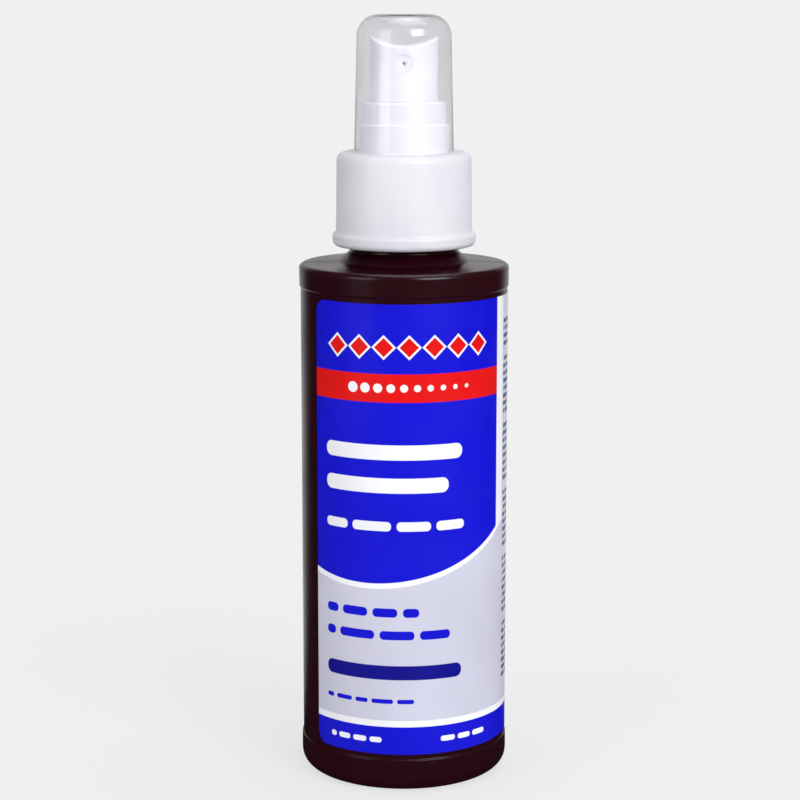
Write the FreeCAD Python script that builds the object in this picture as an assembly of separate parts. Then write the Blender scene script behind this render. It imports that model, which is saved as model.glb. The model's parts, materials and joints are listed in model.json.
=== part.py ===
"""Fine-mist spray bottle: brown bottle, wrap label, screw-on finger pump and clear overcap.

Millimetres, +Z up, origin at the centre of the foot, front of the label towards -Y.
"""
import FreeCAD, Part

import math
import os

# Bottle body
BODY_DIAMETER = 42.0
SHOULDER_HEIGHT = 104.0        # sharp corner of side and shoulder, before rounding
SHOULDER_SLOPE_DEG = 3.0
SHOULDER_EDGE_RADIUS = 1.0
BOTTLE_WALL = 1.0
HEEL_RADIUS = 5.0
PUSH_UP_HEIGHT = 1.6           # hollow under the foot
PUSH_UP_RADIUS = 11.0
STANDING_RING_WIDTH = 2.4

# Label and its recess in the body
LABEL_LOW = 8.0
LABEL_TOP_GAP = 5.6            # label up to the corner of the shoulder
LABEL_THICKNESS = 0.10
LABEL_GLUE = 0.02
LABEL_LEFT_EDGE_DEG = 55.5     # left of the front
LABEL_GAP_DEG = 38.0           # bare strip between the label's two edges
LABEL_CORNER_RADIUS = 2.5
PANEL_RECESS = 0.25
PANEL_MARGIN = 1.0             # recess beyond the label, above and below

# Neck finish, 24 mm with one and a half turns
NECK_DIAMETER = 21.5
NECK_BORE = 17.5
FINISH_HEIGHT = 15.15
NECK_ROOT_RADIUS = 0.8
NECK_FLARE_WIDTH = 2.35        # where the neck spreads into the shoulder, on the radius
NECK_FLARE_HEIGHT = 2.2
FLARE_FOOT_RADIUS = 1.0
LIP_RADIUS = 0.4
THREAD_HEIGHT = 1.1            # crest above the neck
THREAD_PITCH = 3.175
THREAD_TURNS = 1.5
THREAD_ROOT_WIDTH = 2.0
THREAD_CREST_WIDTH = 0.9
THREAD_DROP = 1.3              # mouth down to the first thread
THREAD_RUN_OUT_DEG = 40.0
THREAD_SINK = 0.4              # thread root buried in the wall
THREAD_SECTIONS = 24           # in each turn

# Screw closure
CLOSURE_WALL = 1.25
CLOSURE_DRAFT = 0.2            # wider at the foot, on the radius
CLOSURE_GAP = 1.0              # neck root up to the closure
CLOSURE_TOP_RADIUS = 1.6
CLOSURE_THREAD_TURNS = 1.25
CLOSURE_ROOT_WIDTH = 1.8
CLOSURE_CREST_WIDTH = 0.8
THREAD_CLEARANCE = 0.3
BEAD_WIDTH = 0.9               # beyond the closure's wall
BEAD_HEIGHT = 2.4
DECK_THICKNESS = 2.1
CHIMNEY_DIAMETER = 16.8
CHIMNEY_WALL = 1.3
SEAT_RING_WIDTH = 0.6          # step round the chimney that the overcap grips
SEAT_RING_HEIGHT = 5.6
SNAP_DEPTH = 0.35              # bead that keeps the closure on the pump
SNAP_HEIGHT = 1.0
SNAP_CLEARANCE = 0.15

# Overcap
OVERCAP_WALL = 0.85
OVERCAP_FIT = 0.05
OVERCAP_DRAFT_DEG = 1.3
OVERCAP_TOP_RADIUS = 4.2
OVERCAP_HEADROOM = 3.25

# Button and spray tip
STROKE = 5.5
ACTUATOR_CLEARANCE = 0.4
ACTUATOR_WALL = 1.2
ACTUATOR_TUCK = 2.6            # button foot below the chimney rim at rest
ACTUATOR_END_GAP = 0.5
ACTUATOR_EDGE_RADIUS = 0.5
ACTUATOR_ROOF = 1.5
SADDLE_DEPTH = 2.0
COLUMN_WALL = 1.2
INSERT_DIAMETER = 3.6
INSERT_LENGTH = 3.0
INSERT_FACE = 1.0
INSERT_MARGIN = 0.2            # spray tip above the chimney at full stroke
WELL_FLOOR = 0.9               # behind the spray tip's post
POST_DIAMETER = 1.8
FEED_DIAMETER = 0.8
ORIFICE_DIAMETER = 0.4
ORIFICE_FLARE = 1.2

# Pump cylinder
GASKET_THICKNESS = 0.8
GASKET_INSET = 0.2             # inside the flange's edge
FLANGE_OVERHANG = 0.05         # beyond the neck
FLANGE_THICKNESS = 1.5
FLANGE_GAP = 0.05
TURRET_RISE = 1.4              # above the closure's deck
RUNNING_CLEARANCE = 0.1
PRESS_CLEARANCE = 0.02
BARREL_BORE = 9.0
BARREL_WALL = 1.0
SPRING_BORE = 7.2
CAP_HEIGHT = 4.4
CAP_WALL = 1.2                 # turret wall outside the housing cap is what is left
VENT_DIAMETER = 0.8
BALL_DIAMETER = 3.2
BALL_LIFT = 0.8
BALL_CAGE_CLEARANCE = 0.3
BALL_GRIP = 0.1                # cage lip inside the ball's radius
CAGE_LIP = 0.6
SEAT_ANGLE_DEG = 37.0
INLET_DIAMETER = 2.0
INLET_LENGTH = 1.0
SOCKET_LENGTH = 8.4
SOCKET_WALL = 1.2

# Plunger
STEM_DIAMETER = 4.0
STEM_BORE = 2.0
STEM_COLLAR_DIAMETER = 6.4
STEM_COLLAR_HEIGHT = 1.2
STEM_STOP_GAP = 0.1
SOCKET_DEPTH = 6.0             # stem into the button
PORT_DIAMETER = 1.0
PISTON_HEIGHT = 5.0
PISTON_BORE_CLEARANCE = 0.15
PISTON_LIP_HEIGHT = 1.1
PISTON_WAIST_DEPTH = 0.7
LIP_CLEARANCE = 0.05
PIN_HEAD_DIAMETER = 6.0
PIN_HEAD_HEIGHT = 1.0
PIN_NECK_DIAMETER = 2.6
PIN_PLUG_LENGTH = 1.5
PIN_TAIL_DIAMETER = 3.4
PIN_TAIL_LENGTH = 6.0
SEAT_CLEARANCE = 0.05

# Springs
RETURN_WIRE = 0.7
RETURN_SIDE_GAP = 0.4          # coil to the bore that it stands in
RETURN_LENGTH = 16.0
RETURN_TURNS = 8
VALVE_WIRE = 0.5
VALVE_SIDE_GAP = 0.4           # coil to the stem inside it
VALVE_LENGTH = 4.0
VALVE_TURNS = 3
SPRING_END_GAP = 0.03

# Dip tube
TUBE_DIAMETER = 4.0
TUBE_BORE = 2.6
TUBE_FLOOR_GAP = 2.0
TUBE_CUT_DEG = 30.0

# Share of a straight side that a rounded corner may take
ROUNDING_SHARE = 0.48

# Radii and levels that follow from the sizes above
BODY_R = BODY_DIAMETER / 2
PANEL_R = BODY_R - PANEL_RECESS
INNER_R = PANEL_R - BOTTLE_WALL
NECK_R = NECK_DIAMETER / 2
BORE_R = NECK_BORE / 2
THREAD_R = NECK_R + THREAD_HEIGHT
CLOSURE_BORE_R = THREAD_R + THREAD_CLEARANCE
CHIMNEY_R = CHIMNEY_DIAMETER / 2
SEAT_RING_R = CHIMNEY_R + SEAT_RING_WIDTH
SLOPE = math.tan(math.radians(SHOULDER_SLOPE_DEG))
LABEL_TOP = SHOULDER_HEIGHT - LABEL_TOP_GAP
LABEL_WRAP_DEG = 360 - LABEL_GAP_DEG
FLARE_R = NECK_R + NECK_FLARE_WIDTH
FLARE_FOOT = SHOULDER_HEIGHT + (BODY_R - FLARE_R) * SLOPE
NECK_ROOT = FLARE_FOOT + NECK_FLARE_HEIGHT
MOUTH = NECK_ROOT + FINISH_HEIGHT
FLANGE_R = NECK_R + FLANGE_OVERHANG
FLANGE_LOW = MOUTH + GASKET_THICKNESS
FLANGE_TOP = FLANGE_LOW + FLANGE_THICKNESS
DECK_LOW = FLANGE_TOP + FLANGE_GAP
DECK_TOP = DECK_LOW + DECK_THICKNESS
CLOSURE_LOW = NECK_ROOT + CLOSURE_GAP
CHIMNEY_BORE_R = CHIMNEY_R - CHIMNEY_WALL
TURRET_R = CHIMNEY_BORE_R - RUNNING_CLEARANCE
TURRET_TOP = DECK_TOP + TURRET_RISE
SNAP_MIDDLE = DECK_TOP
ACTUATOR_LOW = TURRET_TOP + STROKE + ACTUATOR_END_GAP
CHIMNEY_TOP = ACTUATOR_LOW + ACTUATOR_TUCK
ACTUATOR_R = CHIMNEY_BORE_R - ACTUATOR_CLEARANCE
INSERT_R = INSERT_DIAMETER / 2
NOZZLE_Z = CHIMNEY_TOP + STROKE + INSERT_R + INSERT_MARGIN
SADDLE_LOW = NOZZLE_Z + INSERT_R + ACTUATOR_ROOF
ACTUATOR_TOP = SADDLE_LOW + SADDLE_DEPTH
INSERT_FRONT = math.sqrt(ACTUATOR_R ** 2 - INSERT_R ** 2)
OVERCAP_TOP = ACTUATOR_TOP + OVERCAP_HEADROOM + OVERCAP_WALL
STEM_R = STEM_DIAMETER / 2
STEM_BORE_R = STEM_BORE / 2
STEM_TOP = ACTUATOR_LOW + SOCKET_DEPTH
CAP_R = TURRET_R - CAP_WALL
CAP_LOW = TURRET_TOP - CAP_HEIGHT
RETURN_COIL_DIAMETER = SPRING_BORE - 2 * RETURN_SIDE_GAP
VALVE_COIL_DIAMETER = STEM_DIAMETER + 2 * (VALVE_SIDE_GAP + VALVE_WIRE)
COLLAR_TOP = CAP_LOW - STEM_STOP_GAP
COLLAR_LOW = COLLAR_TOP - STEM_COLLAR_HEIGHT
PISTON_TOP = COLLAR_LOW - VALVE_LENGTH
PISTON_LOW = PISTON_TOP - PISTON_HEIGHT
PISTON_BORE_R = STEM_R + PISTON_BORE_CLEARANCE
BARREL_R = BARREL_BORE / 2
PIN_HEAD_R = PIN_HEAD_DIAMETER / 2
PIN_CONE_LOW = PISTON_LOW - (PIN_HEAD_R - PISTON_BORE_R + SEAT_CLEARANCE)
PIN_CONE_TOP = PIN_CONE_LOW + PIN_HEAD_R - PIN_NECK_DIAMETER / 2
PIN_HEAD_LOW = PIN_CONE_LOW - PIN_HEAD_HEIGHT
STEM_LOW = PIN_CONE_TOP + SEAT_CLEARANCE
PLUG_TOP = STEM_LOW + PIN_PLUG_LENGTH
PORT_Z = PLUG_TOP + PORT_DIAMETER
BARREL_FLOOR = PISTON_LOW - STROKE - PIN_HEAD_HEIGHT
SPRING_LEDGE = PIN_HEAD_LOW - RETURN_LENGTH
BALL_R = BALL_DIAMETER / 2
CAGE_R = BALL_R + BALL_CAGE_CLEARANCE
CAGE_LIP_R = BALL_R - BALL_GRIP
CAGE_TOP = SPRING_LEDGE - CAGE_LIP
BALL_Z = CAGE_TOP - math.sqrt(BALL_R ** 2 - CAGE_LIP_R ** 2) - SEAT_CLEARANCE - BALL_LIFT
SEAT_TAN = math.tan(math.radians(SEAT_ANGLE_DEG))
SEAT_APEX = BALL_Z - BALL_R / math.sin(math.radians(SEAT_ANGLE_DEG)) - SEAT_CLEARANCE
SEAT_TOP = SEAT_APEX + CAGE_R / SEAT_TAN
SEAT_LOW = SEAT_APEX + INLET_DIAMETER / 2 / SEAT_TAN
SOCKET_TOP = SEAT_LOW - INLET_LENGTH
SOCKET_LOW = SOCKET_TOP - SOCKET_LENGTH
TUBE_R = TUBE_DIAMETER / 2
SOCKET_R = TUBE_R + PRESS_CLEARANCE
FLOOR_INSIDE = PUSH_UP_HEIGHT + BOTTLE_WALL
TUBE_LOW = FLOOR_INSIDE + TUBE_FLOOR_GAP

UP = FreeCAD.Vector(0, 0, 1)
ORIGIN = FreeCAD.Vector(0, 0, 0)
FRONT = FreeCAD.Vector(0, -1, 0)


def profile_point(r, z):
    """A point of a turned profile, in the XZ plane."""
    return FreeCAD.Vector(r, 0, z)


def rounded_corner(before, corner, after, radius):
    """Start, middle and end of the arc that rounds a corner, limited by its two sides."""
    back = (before - corner)
    ahead = (after - corner)
    half = back.getAngle(ahead) / 2
    longest = ROUNDING_SHARE * min(back.Length, ahead.Length)
    reach = min(radius / math.tan(half), longest)
    limited = reach * math.tan(half)
    back.normalize()
    ahead.normalize()
    middle = (back + ahead).normalize()
    tip = limited / math.sin(half) - limited
    return corner + back * reach, corner + middle * tip, corner + ahead * reach


def turned(corners):
    """Solid of revolution about Z from closed corners (r, z) or (r, z, rounding radius)."""
    points = [profile_point(c[0], c[1]) for c in corners]
    count = len(points)
    stretches = []
    for i, corner in enumerate(corners):
        if len(corner) == 3:
            stretches.append(rounded_corner(points[i - 1], points[i], points[(i + 1) % count], corner[2]))
        else:
            stretches.append((points[i],))
    edges = []
    for i, stretch in enumerate(stretches):
        if len(stretch) == 3:
            edges.append(Part.Arc(*stretch).toShape())
        following = stretches[(i + 1) % count]
        edges.append(Part.makeLine(stretch[-1], following[0]))
    return Part.Face(Part.Wire(edges)).revolve(ORIGIN, UP, 360)


def rod(radius, low, high):
    """Round bar along Z."""
    return Part.makeCylinder(radius, high - low, FreeCAD.Vector(0, 0, low), UP)


def front_rod(radius, near, far, z):
    """Round bar along the spray direction, from near to far in front of the axis."""
    return Part.makeCylinder(radius, far - near, FreeCAD.Vector(0, -near, z), FRONT)


def thread_section(angle, z, root_r, crest_r, root_width, crest_width):
    """Closed trapezium of a thread at one angle about Z."""
    outward = FreeCAD.Vector(math.cos(angle), math.sin(angle), 0)
    corners = [
        outward * root_r + UP * (z - root_width / 2),
        outward * crest_r + UP * (z - crest_width / 2),
        outward * crest_r + UP * (z + crest_width / 2),
        outward * root_r + UP * (z + root_width / 2),
    ]
    return Part.makePolygon(corners + corners[:1])


def thread(wall_r, crest_r, root_width, crest_width, z_start, turns):
    """Helical thread that rises from a wall and runs out into it at both ends."""
    outward = 1 if crest_r > wall_r else -1
    root_r = wall_r - outward * THREAD_SINK
    buried_r = wall_r - outward * THREAD_SINK / 2
    steps = math.ceil(turns * THREAD_SECTIONS)
    sections = []
    for i in range(steps + 1):
        turned_deg = turns * 360 * i / steps
        from_end = min(turned_deg, turns * 360 - turned_deg)
        rise = min(1, from_end / THREAD_RUN_OUT_DEG)
        rise = rise * rise * (3 - 2 * rise)
        crest = buried_r + (crest_r - buried_r) * rise
        z = z_start + THREAD_PITCH * turned_deg / 360
        angle = math.radians(turned_deg)
        sections.append(thread_section(angle, z, root_r, crest, root_width, crest_width))
    return Part.makeLoft(sections, True, False)


def biarc(start, start_way, end, end_way):
    """Two tangent arcs from one point and direction to another."""
    across = end - start
    ways = start_way + end_way
    a = 2 * (1 - start_way.dot(end_way))
    b = across.dot(ways)
    reach = (math.sqrt(b * b + a * across.dot(across)) - b) / a
    joint = (start + end + (start_way - end_way) * reach) * 0.5
    return [arc_along(start, start_way, joint), arc_along(end, -end_way, joint)]


def arc_along(start, way, end):
    """Arc from start, leaving in direction way, to end."""
    chord = end - start
    bend = way.getAngle(chord)
    along = FreeCAD.Vector(chord).normalize()
    side = (way - along * way.dot(along)).normalize()
    middle = start + chord * 0.5 + side * (chord.Length / 2 * math.tan(bend / 2))
    return Part.Arc(start, middle, end).toShape()


def coil_spring(name, wire, outside, low, high, turns):
    """Open-ended compression spring between two levels, wound on quarter-turn biarcs."""
    radius = (outside - wire) / 2
    first = low + wire / 2 + SPRING_END_GAP
    climb = (high - low - wire - 2 * SPRING_END_GAP) / turns
    quarters = turns * 4
    lead = climb / (2 * math.pi)

    def place(i):
        angle = i * math.pi / 2
        return FreeCAD.Vector(radius * math.cos(angle), radius * math.sin(angle), first + climb * i / 4)

    def way(i):
        angle = i * math.pi / 2
        return FreeCAD.Vector(-radius * math.sin(angle), radius * math.cos(angle), lead).normalize()

    edges = []
    for i in range(quarters):
        edges += biarc(place(i), way(i), place(i + 1), way(i + 1))
    path = Part.Wire(Part.__sortEdges__(edges))
    ring = Part.Wire(Part.makeCircle(wire / 2, place(0), way(0)))
    pipe = Part.BRepOffsetAPI.MakePipeShell(path)
    pipe.add(ring)
    pipe.build()
    pipe.makeSolid()
    gap = min((place(i) - place(i + 4)).Length for i in range(quarters - 3)) - wire
    print(name, "least gap between turns", round(gap, 3))
    return pipe.shape()


def bottle():
    """Brown blow-moulded bottle with recessed label panel and threaded neck."""
    ring_inner = BODY_R - HEEL_RADIUS - STANDING_RING_WIDTH
    panel_low = LABEL_LOW - PANEL_MARGIN
    panel_top = LABEL_TOP + PANEL_MARGIN
    drop = BOTTLE_WALL / math.cos(math.radians(SHOULDER_SLOPE_DEG))
    inner_shoulder = SHOULDER_HEIGHT + (BODY_R - INNER_R) * SLOPE - drop
    inner_flare_r = BORE_R + NECK_FLARE_WIDTH
    inner_flare_foot = SHOULDER_HEIGHT + (BODY_R - inner_flare_r) * SLOPE - drop
    body = turned([
        (0, PUSH_UP_HEIGHT),
        (PUSH_UP_RADIUS, PUSH_UP_HEIGHT, HEEL_RADIUS),
        (ring_inner, 0, BOTTLE_WALL),
        (BODY_R, 0, HEEL_RADIUS),
        (BODY_R, panel_low - PANEL_RECESS),
        (PANEL_R, panel_low),
        (PANEL_R, panel_top),
        (BODY_R, panel_top + PANEL_RECESS),
        (BODY_R, SHOULDER_HEIGHT, SHOULDER_EDGE_RADIUS),
        (FLARE_R, FLARE_FOOT, FLARE_FOOT_RADIUS),
        (NECK_R, NECK_ROOT, NECK_ROOT_RADIUS),
        (NECK_R, MOUTH, LIP_RADIUS),
        (BORE_R, MOUTH, LIP_RADIUS),
        (BORE_R, NECK_ROOT - BOTTLE_WALL, NECK_ROOT_RADIUS),
        (inner_flare_r, inner_flare_foot, FLARE_FOOT_RADIUS),
        (INNER_R, inner_shoulder, SHOULDER_EDGE_RADIUS),
        (INNER_R, BOTTLE_WALL, HEEL_RADIUS - BOTTLE_WALL / 2),
        (ring_inner, BOTTLE_WALL, BOTTLE_WALL),
        (PUSH_UP_RADIUS, FLOOR_INSIDE, HEEL_RADIUS),
        (0, FLOOR_INSIDE),
    ])
    ridge = thread(NECK_R, THREAD_R, THREAD_ROOT_WIDTH, THREAD_CREST_WIDTH, thread_foot(), THREAD_TURNS)
    return body.fuse(ridge)


def thread_foot():
    """Level of the bottle thread's lower end."""
    return MOUTH - THREAD_DROP - THREAD_ROOT_WIDTH / 2 - THREAD_PITCH * THREAD_TURNS


def wrap_label():
    """Thin label round the recessed panel, with rounded corners."""
    inner_r = PANEL_R + LABEL_GLUE
    outer_r = inner_r + LABEL_THICKNESS
    strip = Part.makePolygon([
        profile_point(inner_r, LABEL_LOW),
        profile_point(outer_r, LABEL_LOW),
        profile_point(outer_r, LABEL_TOP),
        profile_point(inner_r, LABEL_TOP),
        profile_point(inner_r, LABEL_LOW),
    ])
    label = Part.Face(strip).revolve(ORIGIN, UP, LABEL_WRAP_DEG)
    for at_end in (False, True):
        for z, inward in ((LABEL_LOW, 1), (LABEL_TOP, -1)):
            label = label.cut(corner_cutter(at_end, z, inward, outer_r))
    label.rotate(ORIGIN, UP, -90 - LABEL_LEFT_EDGE_DEG)
    return label


def corner_cutter(at_end, z, inward, radius):
    """What a label corner loses when it is rounded: a square less a quarter disc, set radially."""
    c = LABEL_CORNER_RADIUS
    along = -1 if at_end else 1
    depth = 2 * c
    square = Part.makeBox(depth, 2 * c, 2 * c, FreeCAD.Vector(radius - c, -c, z - c))
    core = FreeCAD.Vector(radius - c, along * c, z + inward * c)
    disc = Part.makeCylinder(c, depth, core, FreeCAD.Vector(1, 0, 0))
    keep_side = Part.makeBox(depth, 2 * c, 2 * c, core - FreeCAD.Vector(0, 0 if along > 0 else 2 * c, c))
    keep_level = Part.makeBox(depth, 2 * c, 2 * c, core - FreeCAD.Vector(0, c, 0 if inward > 0 else 2 * c))
    cutter = square.cut(disc).cut(keep_side).cut(keep_level)
    if at_end:
        cutter.rotate(ORIGIN, UP, LABEL_WRAP_DEG)
    return cutter


def closure():
    """White screw collar with a bead at its foot and a guide chimney for the button."""
    top_r = CLOSURE_BORE_R + CLOSURE_WALL
    foot_r = top_r + CLOSURE_DRAFT
    bead_r = top_r + BEAD_WIDTH
    seat_top = DECK_TOP + SEAT_RING_HEIGHT
    groove_r = TURRET_R + SNAP_DEPTH + SNAP_CLEARANCE
    groove_half = SNAP_HEIGHT / 2 + SNAP_CLEARANCE
    bead_top = CLOSURE_LOW + BEAD_HEIGHT
    shell = turned([
        (CLOSURE_BORE_R, CLOSURE_LOW, LIP_RADIUS),
        (bead_r, CLOSURE_LOW, BEAD_HEIGHT / 2),
        (bead_r, bead_top, BEAD_HEIGHT / 4),
        (foot_r, bead_top + (bead_r - foot_r) / 2, LIP_RADIUS),
        (top_r, DECK_TOP, CLOSURE_TOP_RADIUS),
        (SEAT_RING_R, DECK_TOP),
        (SEAT_RING_R, seat_top, LIP_RADIUS),
        (CHIMNEY_R, seat_top),
        (CHIMNEY_R, CHIMNEY_TOP, LIP_RADIUS),
        (CHIMNEY_BORE_R, CHIMNEY_TOP, LIP_RADIUS),
        (CHIMNEY_BORE_R, SNAP_MIDDLE + groove_half),
        (groove_r, SNAP_MIDDLE + groove_half),
        (groove_r, SNAP_MIDDLE - groove_half),
        (CHIMNEY_BORE_R, SNAP_MIDDLE - groove_half),
        (CHIMNEY_BORE_R, DECK_LOW),
        (CLOSURE_BORE_R, DECK_LOW, LIP_RADIUS),
    ])
    ridge = thread(CLOSURE_BORE_R, NECK_R + THREAD_CLEARANCE, CLOSURE_ROOT_WIDTH, CLOSURE_CREST_WIDTH,
                   thread_foot() - THREAD_PITCH / 2, CLOSURE_THREAD_TURNS)
    return shell.fuse(ridge)


def overcap():
    """Clear hood, a push fit round the foot of the chimney."""
    foot_inner = SEAT_RING_R + OVERCAP_FIT
    foot_outer = foot_inner + OVERCAP_WALL
    lean = (OVERCAP_TOP - DECK_TOP) * math.tan(math.radians(OVERCAP_DRAFT_DEG))
    ceiling = OVERCAP_TOP - OVERCAP_WALL
    grip_top = DECK_TOP + SEAT_RING_HEIGHT
    return turned([
        (foot_outer, DECK_TOP, OVERCAP_WALL / 4),
        (foot_outer - lean, OVERCAP_TOP, OVERCAP_TOP_RADIUS),
        (0, OVERCAP_TOP),
        (0, ceiling),
        (foot_inner - lean, ceiling, OVERCAP_TOP_RADIUS - OVERCAP_WALL),
        (foot_inner, grip_top),
        (foot_inner, DECK_TOP, OVERCAP_WALL / 4),
    ])


def actuator():
    """Finger button: cored shell with a saddle top, a stem socket and a well for the spray tip."""
    ceiling = SADDLE_LOW - ACTUATOR_ROOF
    inner_r = ACTUATOR_R - ACTUATOR_WALL
    column_r = STEM_R + COLUMN_WALL
    socket_r = STEM_R + PRESS_CLEARANCE
    well_depth = INSERT_FRONT - INSERT_LENGTH
    well_floor = well_depth - WELL_FLOOR
    shell = turned([
        (inner_r, ACTUATOR_LOW),
        (ACTUATOR_R, ACTUATOR_LOW, LIP_RADIUS),
        (ACTUATOR_R, ACTUATOR_TOP, ACTUATOR_EDGE_RADIUS),
        (0, ACTUATOR_TOP),
        (0, ceiling),
        (inner_r, ceiling, LIP_RADIUS),
    ])
    column = rod(column_r, ACTUATOR_LOW, ceiling + ACTUATOR_ROOF / 2)
    boss = front_rod(INSERT_R + ACTUATOR_WALL, 0, INSERT_FRONT, NOZZLE_Z)
    solid = shell.fuse([column, boss])
    saddle_r = (ACTUATOR_R ** 2 + SADDLE_DEPTH ** 2) / (2 * SADDLE_DEPTH)
    saddle = Part.makeCylinder(saddle_r, 4 * ACTUATOR_R,
                               FreeCAD.Vector(0, 2 * ACTUATOR_R, SADDLE_LOW + saddle_r), FRONT)
    feed_z = NOZZLE_Z - (POST_DIAMETER / 2 + INSERT_R) / 2
    post = front_rod(POST_DIAMETER / 2, well_floor, INSERT_FRONT - INSERT_FACE - SEAT_CLEARANCE, NOZZLE_Z)
    well = front_rod(INSERT_R + PRESS_CLEARANCE, well_floor, 2 * ACTUATOR_R, NOZZLE_Z).cut(post)
    hollows = [
        saddle,
        rod(socket_r, ACTUATOR_LOW, STEM_TOP + SEAT_CLEARANCE),
        rod(STEM_BORE_R, STEM_TOP, NOZZLE_Z),
        front_rod(FEED_DIAMETER / 2, 0, well_floor + SEAT_CLEARANCE, feed_z),
        well,
    ]
    return solid.cut(hollows)


def nozzle_insert():
    """Spray tip: a cup pressed over the post in the button, with a flared orifice."""
    cup = front_rod(INSERT_R, INSERT_FRONT - INSERT_LENGTH, INSERT_FRONT, NOZZLE_Z)
    bore = front_rod(POST_DIAMETER / 2 + SEAT_CLEARANCE, 0, INSERT_FRONT - INSERT_FACE, NOZZLE_Z)
    orifice = front_rod(ORIFICE_DIAMETER / 2, 0, INSERT_FRONT, NOZZLE_Z)
    flare = Part.makeCone(ORIFICE_DIAMETER / 2, ORIFICE_FLARE / 2, INSERT_FACE / 2,
                          FreeCAD.Vector(0, -(INSERT_FRONT - INSERT_FACE / 2), NOZZLE_Z), FRONT)
    return cup.cut([bore, orifice, flare])


def neck_gasket():
    """Soft washer between the bottle's mouth and the pump flange."""
    inner_r = BARREL_R + BARREL_WALL + RUNNING_CLEARANCE
    return rod(FLANGE_R - GASKET_INSET, MOUTH, FLANGE_LOW).cut(rod(inner_r, MOUTH, FLANGE_LOW))


def pump_housing():
    """Flanged pump cylinder with turret, vent, spring ledge, ball cage and dip tube socket."""
    barrel_outer = BARREL_R + BARREL_WALL
    spring_r = SPRING_BORE / 2
    spring_outer = spring_r + BARREL_WALL
    socket_outer = SOCKET_R + SOCKET_WALL
    cap_seat_r = CAP_R + PRESS_CLEARANCE
    snap_r = TURRET_R + SNAP_DEPTH
    snap_half = SNAP_HEIGHT / 2
    step = BARREL_WALL
    body = turned([
        (INLET_DIAMETER / 2, SOCKET_TOP),
        (SOCKET_R, SOCKET_TOP),
        (SOCKET_R, SOCKET_LOW),
        (socket_outer, SOCKET_LOW, SOCKET_WALL / 3),
        (socket_outer, SOCKET_TOP),
        (spring_outer, SEAT_TOP, step),
        (spring_outer, BARREL_FLOOR - step, step),
        (barrel_outer, BARREL_FLOOR, step),
        (barrel_outer, FLANGE_LOW),
        (FLANGE_R, FLANGE_LOW),
        (FLANGE_R, FLANGE_TOP),
        (TURRET_R, FLANGE_TOP),
        (TURRET_R, SNAP_MIDDLE - snap_half),
        (snap_r, SNAP_MIDDLE - snap_half / 3),
        (snap_r, SNAP_MIDDLE + snap_half / 3),
        (TURRET_R, SNAP_MIDDLE + snap_half),
        (TURRET_R, TURRET_TOP),
        (cap_seat_r, TURRET_TOP),
        (cap_seat_r, CAP_LOW),
        (BARREL_R, CAP_LOW),
        (BARREL_R, BARREL_FLOOR),
        (spring_r, BARREL_FLOOR - step / 2),
        (spring_r, SPRING_LEDGE),
        (CAGE_LIP_R, SPRING_LEDGE),
        (CAGE_LIP_R, CAGE_TOP),
        (CAGE_R, CAGE_TOP),
        (CAGE_R, SEAT_TOP),
        (INLET_DIAMETER / 2, SEAT_LOW),
    ])
    vent_z = (PISTON_TOP + PISTON_LOW) / 2
    return body.cut(front_rod(VENT_DIAMETER / 2, 0, 2 * barrel_outer, vent_z))


def housing_cap():
    """Ring that closes the cylinder, guides the stem and stops its collar."""
    return rod(CAP_R, CAP_LOW, TURRET_TOP).cut(rod(STEM_R + RUNNING_CLEARANCE, CAP_LOW, TURRET_TOP))


def stem():
    """Hollow plunger tube with a collar and two side ports."""
    tube = turned([
        (STEM_BORE_R, STEM_LOW),
        (STEM_R, STEM_LOW),
        (STEM_R, COLLAR_LOW),
        (STEM_COLLAR_DIAMETER / 2, COLLAR_LOW),
        (STEM_COLLAR_DIAMETER / 2, COLLAR_TOP),
        (STEM_R, COLLAR_TOP),
        (STEM_R, STEM_TOP),
        (STEM_BORE_R, STEM_TOP),
    ])
    return tube.cut(front_rod(PORT_DIAMETER / 2, -STEM_DIAMETER, STEM_DIAMETER, PORT_Z))


def piston():
    """Sleeve with a sealing lip at each end, sliding in the cylinder and on the stem."""
    lip_r = BARREL_R - LIP_CLEARANCE
    waist_r = lip_r - PISTON_WAIST_DEPTH
    return turned([
        (PISTON_BORE_R, PISTON_LOW),
        (lip_r - LIP_CLEARANCE, PISTON_LOW),
        (lip_r, PISTON_LOW + PISTON_LIP_HEIGHT / 2),
        (waist_r, PISTON_LOW + PISTON_LIP_HEIGHT),
        (waist_r, PISTON_TOP - PISTON_LIP_HEIGHT),
        (lip_r, PISTON_TOP - PISTON_LIP_HEIGHT / 2),
        (lip_r - LIP_CLEARANCE, PISTON_TOP),
        (PISTON_BORE_R, PISTON_TOP),
    ])


def valve_pin():
    """Cone that the piston seals on, with a plug in the stem and a tail inside the return spring."""
    tail_r = PIN_TAIL_DIAMETER / 2
    plug_r = STEM_BORE_R - PRESS_CLEARANCE
    tail_low = PIN_HEAD_LOW - PIN_TAIL_LENGTH
    return turned([
        (0, tail_low),
        (tail_r, tail_low, tail_r / 2),
        (tail_r, PIN_HEAD_LOW),
        (PIN_HEAD_R, PIN_HEAD_LOW),
        (PIN_HEAD_R, PIN_CONE_LOW),
        (PIN_NECK_DIAMETER / 2, PIN_CONE_TOP),
        (plug_r, PIN_CONE_TOP),
        (plug_r, PLUG_TOP),
        (0, PLUG_TOP),
    ])


def inlet_ball():
    """Ball of the inlet valve, resting on its conical seat."""
    return Part.makeSphere(BALL_R, FreeCAD.Vector(0, 0, BALL_Z))


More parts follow.
